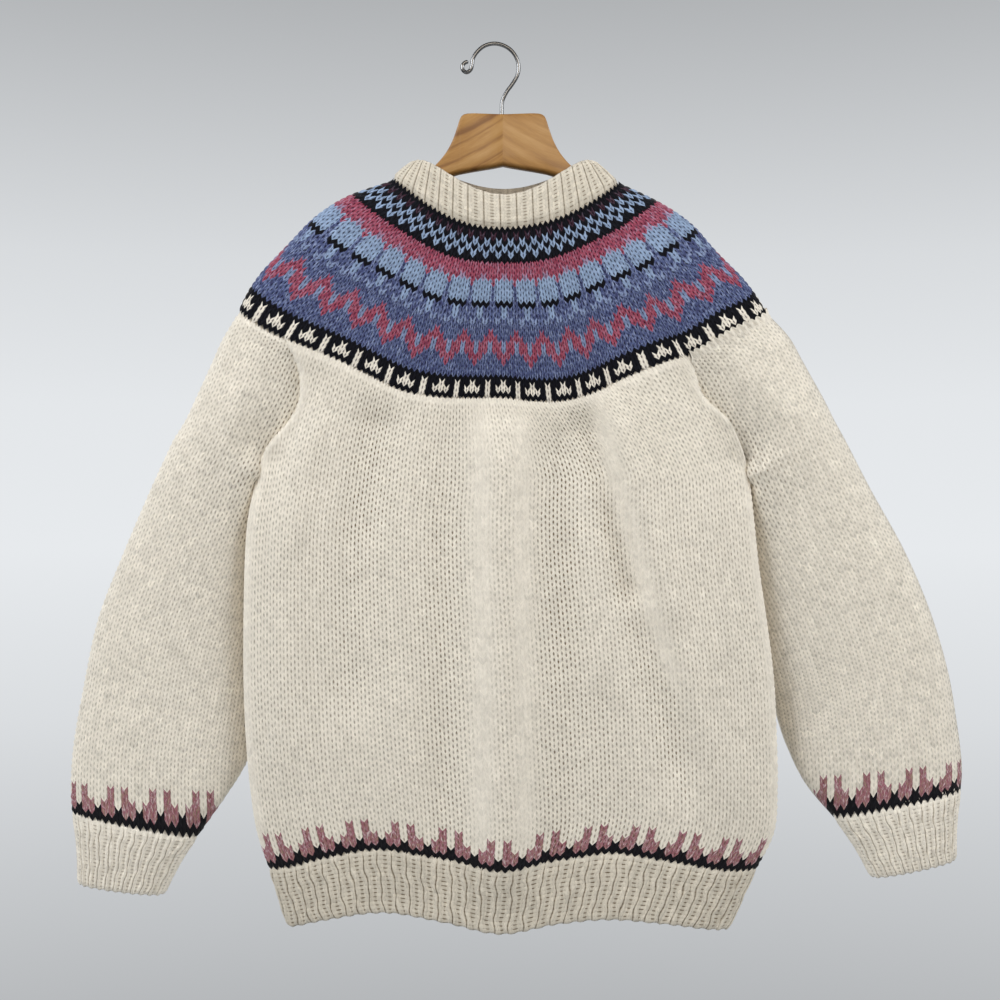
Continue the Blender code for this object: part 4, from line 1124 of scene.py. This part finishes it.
def collar_rim(repeat):
    """The collar's top line: an oval across, sagging at the front and less at the back."""
    angle = math.pi * np.mod(repeat, REPEATS) / (REPEATS / 2)
    s = np.abs(np.sin(angle))
    back = np.sin(angle) < 0
    z = RIM_TOP - np.where(back, RIM_SAG[1], RIM_SAG[0]) * s**3.2
    y = np.where(back, RIM_Y[1], RIM_Y[0]) * s**0.8
    return stack(RIM_X[0] - RIM_X[1] * np.cos(angle), y, z)


def build_collar(mat):
    """A profile carried round the neck: up the outside, over the rim and down the inside."""
    u = rib_columns(COLLAR_STITCHES)
    repeat = u * REPEATS / COLLAR_STITCHES
    base = yoke_point(repeat, 0.0)
    edge_out = yoke_out(repeat, 0.02)
    up = collar_rim(repeat) - base
    out = ring_out(base, unit(up), 3)
    steps = np.arange(COLLAR_ROUNDS * FINE + 1)
    height = rib_form(u[None, :], np.mod(steps, FINE)[:, None] / FINE)
    rings = []
    for step in steps:
        share = step / steps[-1]
        swell, strength = (look_straight(COLLAR_PROFILE, k, share) for k in (1, 2))
        blend = min(1.0, share / 0.35)
        off = swell + height[step] * RIB_RISE * strength
        rings.append(base + up * share + unit(edge_out * (1 - blend) + out * blend) * off[:, None])
    for share, off in COLLAR_INSIDE:
        rings.append(base + up * share + out * off)
    # The collar's yarn n is the cream a shade darker: painted shade
    return rib_mesh("collar_knit", rings, steps, COLLAR_ROUNDS, COLLAR_STITCHES, "n", 0.6, 0.3, True, mat)


collar = build_collar(ribbed_wool)
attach(collar, "root")
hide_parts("collar")


# ======================================================================= the hanger
# Two arms of solid beech that meet in an upright crest, sawn to shape with rounded edges
# and clear varnished, and a hook of bright plated wire let into the middle of the block.
HANGER_CENTRE = 10.6      # x of the hanger's middle
HANGER_CREST = -4.0       # y of the crest
HOOK_WIRE = 1.85          # radius of the hook's wire
HOOK_SIDES = 16

# reach from the middle, top z, bottom z, how far back, half thickness
ARM = (
    (0, -67.6, -117, 0, 7),
    (3, -67.4, -117.5, 0.5, 7),
    (9, -67.1, -118.6, 0.9, 7),
    (20, -66.7, -120.4, 1, 7),
    (31, -66.5, -122.2, 1.1, 7),
    (35.6, -66.9, -123, 1.2, 7),
    (38.6, -68, -123.5, 1.3, 7),
    (40.6, -70, -123.9, 1.4, 7),
    (42, -73.2, -124.1, 1.4, 7),
    (44.2, -80, -124.7, 1.5, 7),
    (47.6, -89.8, -125.7, 1.6, 7),
    (53, -101, -127.4, 1.8, 7),
    (60, -110.6, -129.8, 2.1, 7.1),
    (68, -118.8, -133.4, 2.3, 7.3),
    (78, -126.8, -140.2, 2.6, 7.5),
    (90, -135, -150, 3, 7.8),
    (104, -143.4, -160, 3.4, 8.2),
    (130, -155, -180, 4, 9),
    (158, -169.5, -200, 4.4, 9.6),
    (184, -190, -216, 4.6, 10),
    (205, -212, -228, 4.6, 9),
)

# From where to where along an arm, and how many mesh lines
ARM_LINES = ((0, 12, 13), (12, 34, 12), (34, 50, 25), (50, 205.8, 63))

# Hook's centre line, from inside the wood to the end of its eye: x, z
HOOK = (
    (9.6, -78),
    (9.5, -70),
    (9.5, -62),
    (10, -54),
    (14, -45.2),
    (20, -36.8),
    (24.6, -28.6),
    (25.8, -20),
    (23.4, -11.4),
    (17.8, -4),
    (9.8, 0.6),
    (1, 1.9),
    (-7.8, -0.6),
    (-14.6, -6.4),
    (-18.4, -12.8),
    (-19.2, -18.4),
    (-20.6, -23.2),
    (-24.4, -25.8),
    (-28, -23.6),
    (-28.6, -19.4),
    (-26.2, -16.2),
    (-22.8, -15.2),
)


# How dark the wood is at a point, from its grain and a painted lighter tone on the left arm: x, y, z in
# metres, and two noises
GRAIN = (
    ("out", "SUBTRACT", "x", HANGER_CENTRE * MM),
    ("reach", "ABSOLUTE", "out"),
    ("curve", "MULTIPLY", "reach", "reach"),
    ("across", "MULTIPLY_ADD", "reach", 0.62, "z"),
    ("across", "MULTIPLY_ADD", "curve", -2.6, "across"),
    ("across", "MULTIPLY_ADD", "y", 0.5, "across"),
    ("along", "MULTIPLY", "out", 16),
    ("wide", "MULTIPLY", "across", 120),
    ("deep", "MULTIPLY", "y", 40),
    ("ring", "MULTIPLY", "across", 430),
    ("ring", "MULTIPLY_ADD", "figure", 9, "ring"),
    ("ring", "SINE", "ring"),
    ("ring", "MULTIPLY_ADD", "ring", 0.5, 0.5),
    ("ring", "POWER", "ring", 3),
    ("left", "LESS_THAN", "out", 0),
    ("much", "MULTIPLY_ADD", "left", 0.16, 0.08),
    ("ring", "MULTIPLY", "ring", "much"),
    ("tone", "MULTIPLY_ADD", "figure", 0.6, "ring"),
    ("tone", "MULTIPLY_ADD", "pores", 0.22, "tone"),
    # Painted light: the left arm is coloured a little lighter than the right, against the shade the lamps
    # leave on it
    ("tone", "MULTIPLY_ADD", "left", -0.04, "tone"),
    ("tone", "ADD", "tone", 0.1),
)


def beech():
    """Beech, sawn, sanded and clear varnished: long soft grain lines that fall away from the
    crest along each arm, stronger in the left one, fine pores and a satin gloss."""
    varnish = {"Roughness": 0.48, "Coat Weight": 0.25, "Coat Roughness": 0.2}
    mat, tree, shader = material("clear_varnished_beech", varnish)
    spot = add(tree, "SeparateXYZ", {0: add(tree, "TexCoord").outputs["Object"]})
    figure = add(tree, "TexNoise", {"Scale": 1.0, "Detail": 3.0, "Roughness": 0.5})
    pores = add(tree, "TexNoise", {"Scale": 9.0, "Detail": 3.0, "Roughness": 0.6})
    known = {**dict(zip("xyz", spot.outputs)), "figure": figure, "pores": pores}
    for result, what, *terms in GRAIN:
        inputs = {i: known.get(term, term) for i, term in enumerate(terms)}
        known[result] = add(tree, "Math", inputs, operation=what)
    lay = add(tree, "CombineXYZ", {0: known["along"], 1: known["deep"], 2: known["wide"]})
    for noise in (figure, pores):
        tree.links.new(lay.outputs[0], noise.inputs["Vector"])
    tone = add(tree, "ValToRGB", {0: known["tone"]})
    ramp = tone.color_ramp
    ramp.elements[0].position = 0.28
    ramp.elements[0].color = linear("#ba9158")
    ramp.elements[1].position = 0.82
    ramp.elements[1].color = linear("#7b4f20")
    ramp.elements.new(0.5).color = linear("#a7793d")
    tree.links.new(tone.outputs[0], shader.inputs["Base Color"])
    bump = add(tree, "Bump", {"Strength": 0.12, "Distance": 0.0003, "Height": pores})
    tree.links.new(bump.outputs[0], shader.inputs["Normal"])
    return mat


def hanger_surface(reach, turn):
    """The wood at a signed reach and a turn round its section: a rectangle whose corners are
    arcs, slim ones above and wide ones below, its height, thickness and place read from ARM."""
    top, bottom, back, half = (look(ARM, i, np.abs(reach)) for i in range(1, 5))
    angle = 2 * math.pi * turn
    c, s = np.cos(angle), np.sin(angle)
    upper = s > 0
    round_y = np.where(upper, 0.45, 0.8) * half
    round_z = np.minimum(np.where(upper, 2.6, 4.6), (top - bottom) / 2)
    y = np.sign(c) * (half - round_y) * np.clip(np.abs(c) * 6, 0, 1) + round_y * c
    tall = (top - bottom) / 2 - round_z
    z = (top + bottom) / 2 + np.sign(s) * tall * np.clip(np.abs(s) * 6, 0, 1) + round_z * s
    return stack(HANGER_CENTRE + reach, HANGER_CREST + back - y, z)


def capped_faces(lines, columns):
    """Faces of a closed tube, with a flat one over each end."""
    first = list(range(columns))
    last = list(range((lines - 1) * columns, lines * columns))
    return grid_faces(lines, columns, True).tolist() + [first[::-1], last]


def build_hanger(mat):
    """Both arms in one mesh, with closed ends, and close lines at the crest and the shoulders."""
    half = np.concatenate([np.linspace(*span)[:-1] for span in ARM_LINES])
    reach = np.concatenate([-half[:0:-1], half])
    fine = np.arcsin(np.linspace(0, 1, 13)) / (2 * math.pi)
    quarter = np.unique(np.concatenate([fine, 0.25 - fine]))
    turn = np.concatenate([quarter[:-1] + 0.25 * k for k in range(4)])
    grid = hanger_surface(reach[:, None], turn[None, :])
    return new_piece("beech_hanger", grid, capped_faces(len(reach), len(turn)), mat)


def wire():
    """Steel wire, bright plated: a mirror, with faint marks drawn along it."""
    plating = {"Metallic": 1.0, "Specular Tint": (0.12, 0.12, 0.14, 1.0)}
    mat, tree, shader = material("plated_steel_wire", plating)
    place = add(tree, "TexCoord").outputs["Object"]
    drawn = add(tree, "TexNoise", {"Scale": 500.0, "Detail": 2.0, "Vector": place})
    for socket, low, high in (("Roughness", 0.18, 0.26), ("Base Color", 0.17, 0.27)):
        value = add(tree, "MapRange", {"To Min": low, "To Max": high, "Value": drawn})
        tree.links.new(value.outputs[0], shader.inputs[socket])
    return mat


def build_hook(mat):
    """A tube carried along the hook's centre line, with a round end at the eye, and turned a
    little out of its plane where the eye passes the wire."""
    last = len(HOOK) - 1
    t = np.linspace(0, last, last * 10 + 1)
    x, z = (smooth(np.arange(len(HOOK)), column(HOOK, k), t) for k in (0, 1))
    middle = stack(x, HANGER_CREST + 1.2 * ease(t, last - 6, last), z)
    along = unit(np.gradient(middle, axis=0))
    flat = unit(np.cross(along, np.array([0.0, 1.0, 0.0])))
    third = np.cross(along, flat)
    end = np.clip((last - t) / 0.45, 0, 1)
    radius = HOOK_WIRE * np.sqrt(1 - (1 - end) ** 2 * 0.98)
    angle = np.linspace(0, 2 * math.pi, HOOK_SIDES, endpoint=False)[None, :, None]
    ring = np.cos(angle) * flat[:, None] + np.sin(angle) * third[:, None]
    grid = middle[:, None] + radius[:, None, None] * ring
    return new_piece("wire_hook", grid, capped_faces(len(t), HOOK_SIDES), mat)


hanger = build_hanger(beech())
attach(hanger, "root")
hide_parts("hanger_wood")

hook = build_hook(wire())
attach(hook, "root")
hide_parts("hanger_hook")


# ======================================================================= the studio
# A plain pale floor well below, a pale room that is darker behind the viewer, and soft
# light from two windows, left and right before the sweater, and a weak lamp in front.
FLOOR = (2.6, -2.0)       # radius and height, in metres like all of the studio
MIDDLE = (0.0, 0.0, -0.45)
# place, width, power, colour
LAMPS = {
    "left window": ((-2.0, -1.2, 0.95), 1.4, 52.0, "#f6faff"),
    "right window": ((2.0, -1.2, 0.85), 1.4, 41.0, "#f6faff"),
    "front": ((0.35, -2.3, 0.65), 1.0, 12.0, "#fff0dc"),
}
# How bright the room is from its foot, 0, to its top, 1
ROOM_SHADES = ((0.14, 0.72), (0.28, 0.88), (0.45, 1.0), (0.6, 0.97), (0.75, 0.86))

scene = bpy.context.scene
angle = np.linspace(0, 2 * math.pi, 64, endpoint=False)
ring = stack(FLOOR[0] * np.cos(angle), FLOOR[0] * np.sin(angle), FLOOR[1])
mesh = bpy.data.meshes.new("floor")
mesh.from_pydata(ring.tolist(), [], [list(range(len(ring)))])
floor = bpy.data.objects.new("floor", mesh)
scene.collection.objects.link(floor)
mesh.materials.append(material("pale_floor", {"Base Color": linear("#dfe2e4"), "Roughness": 0.9})[0])

scene.world = bpy.data.worlds.new("room")
scene.world.use_nodes = True
tree = scene.world.node_tree
parts = add(tree, "SeparateXYZ", {0: add(tree, "TexCoord").outputs["Generated"]})
before = {"From Min": -0.2, "From Max": 0.75, "To Min": 0.36, "To Max": 1.0}
before = add(tree, "MapRange", {"Value": parts.outputs[1], **before})
height = add(tree, "MapRange", {"Value": parts.outputs[2], "From Min": -0.36, "From Max": 0.36})
fall = add(tree, "ValToRGB", {0: height})
fall.color_ramp.elements[0].position = 0.0
fall.color_ramp.elements[0].color = (0.58, 0.58, 0.58, 1.0)
fall.color_ramp.elements[1].position = 1.0
fall.color_ramp.elements[1].color = (0.55, 0.55, 0.57, 1.0)
for spot, shade in ROOM_SHADES:
    fall.color_ramp.elements.new(spot).color = (shade, shade, shade, 1.0)
strength = add(tree, "Math", {0: before, 1: fall}, operation="MULTIPLY")
sky = tree.nodes["Background"]
sky.inputs["Color"].default_value = linear("#e7eaed")
tree.links.new(strength.outputs[0], sky.inputs["Strength"])

for name, (place, size, power, tint) in LAMPS.items():
    lamp = bpy.data.lights.new(name, "AREA")
    lamp.color = linear(tint)[:3]
    lamp.size = size
    lamp.energy = power
    made = bpy.data.objects.new(name, lamp)
    made.location = place
    aim = np.array(MIDDLE) - np.array(place)
    tilt = math.acos(-aim[2] / np.linalg.norm(aim))
    made.rotation_euler = (tilt, 0.0, math.atan2(aim[1], aim[0]) - math.pi / 2)
    scene.collection.objects.link(made)
scene.view_settings.view_transform = "Standard"

lens = bpy.data.cameras.new("camera")
lens.sensor_width = 36.0
lens.lens = 46.39
camera = bpy.data.objects.new("camera", lens)
camera.location = (0.00776, -1.25, -0.4394)
camera.rotation_euler = (math.pi / 2, 0.0, 0.0)
scene.collection.objects.link(camera)
scene.camera = camera
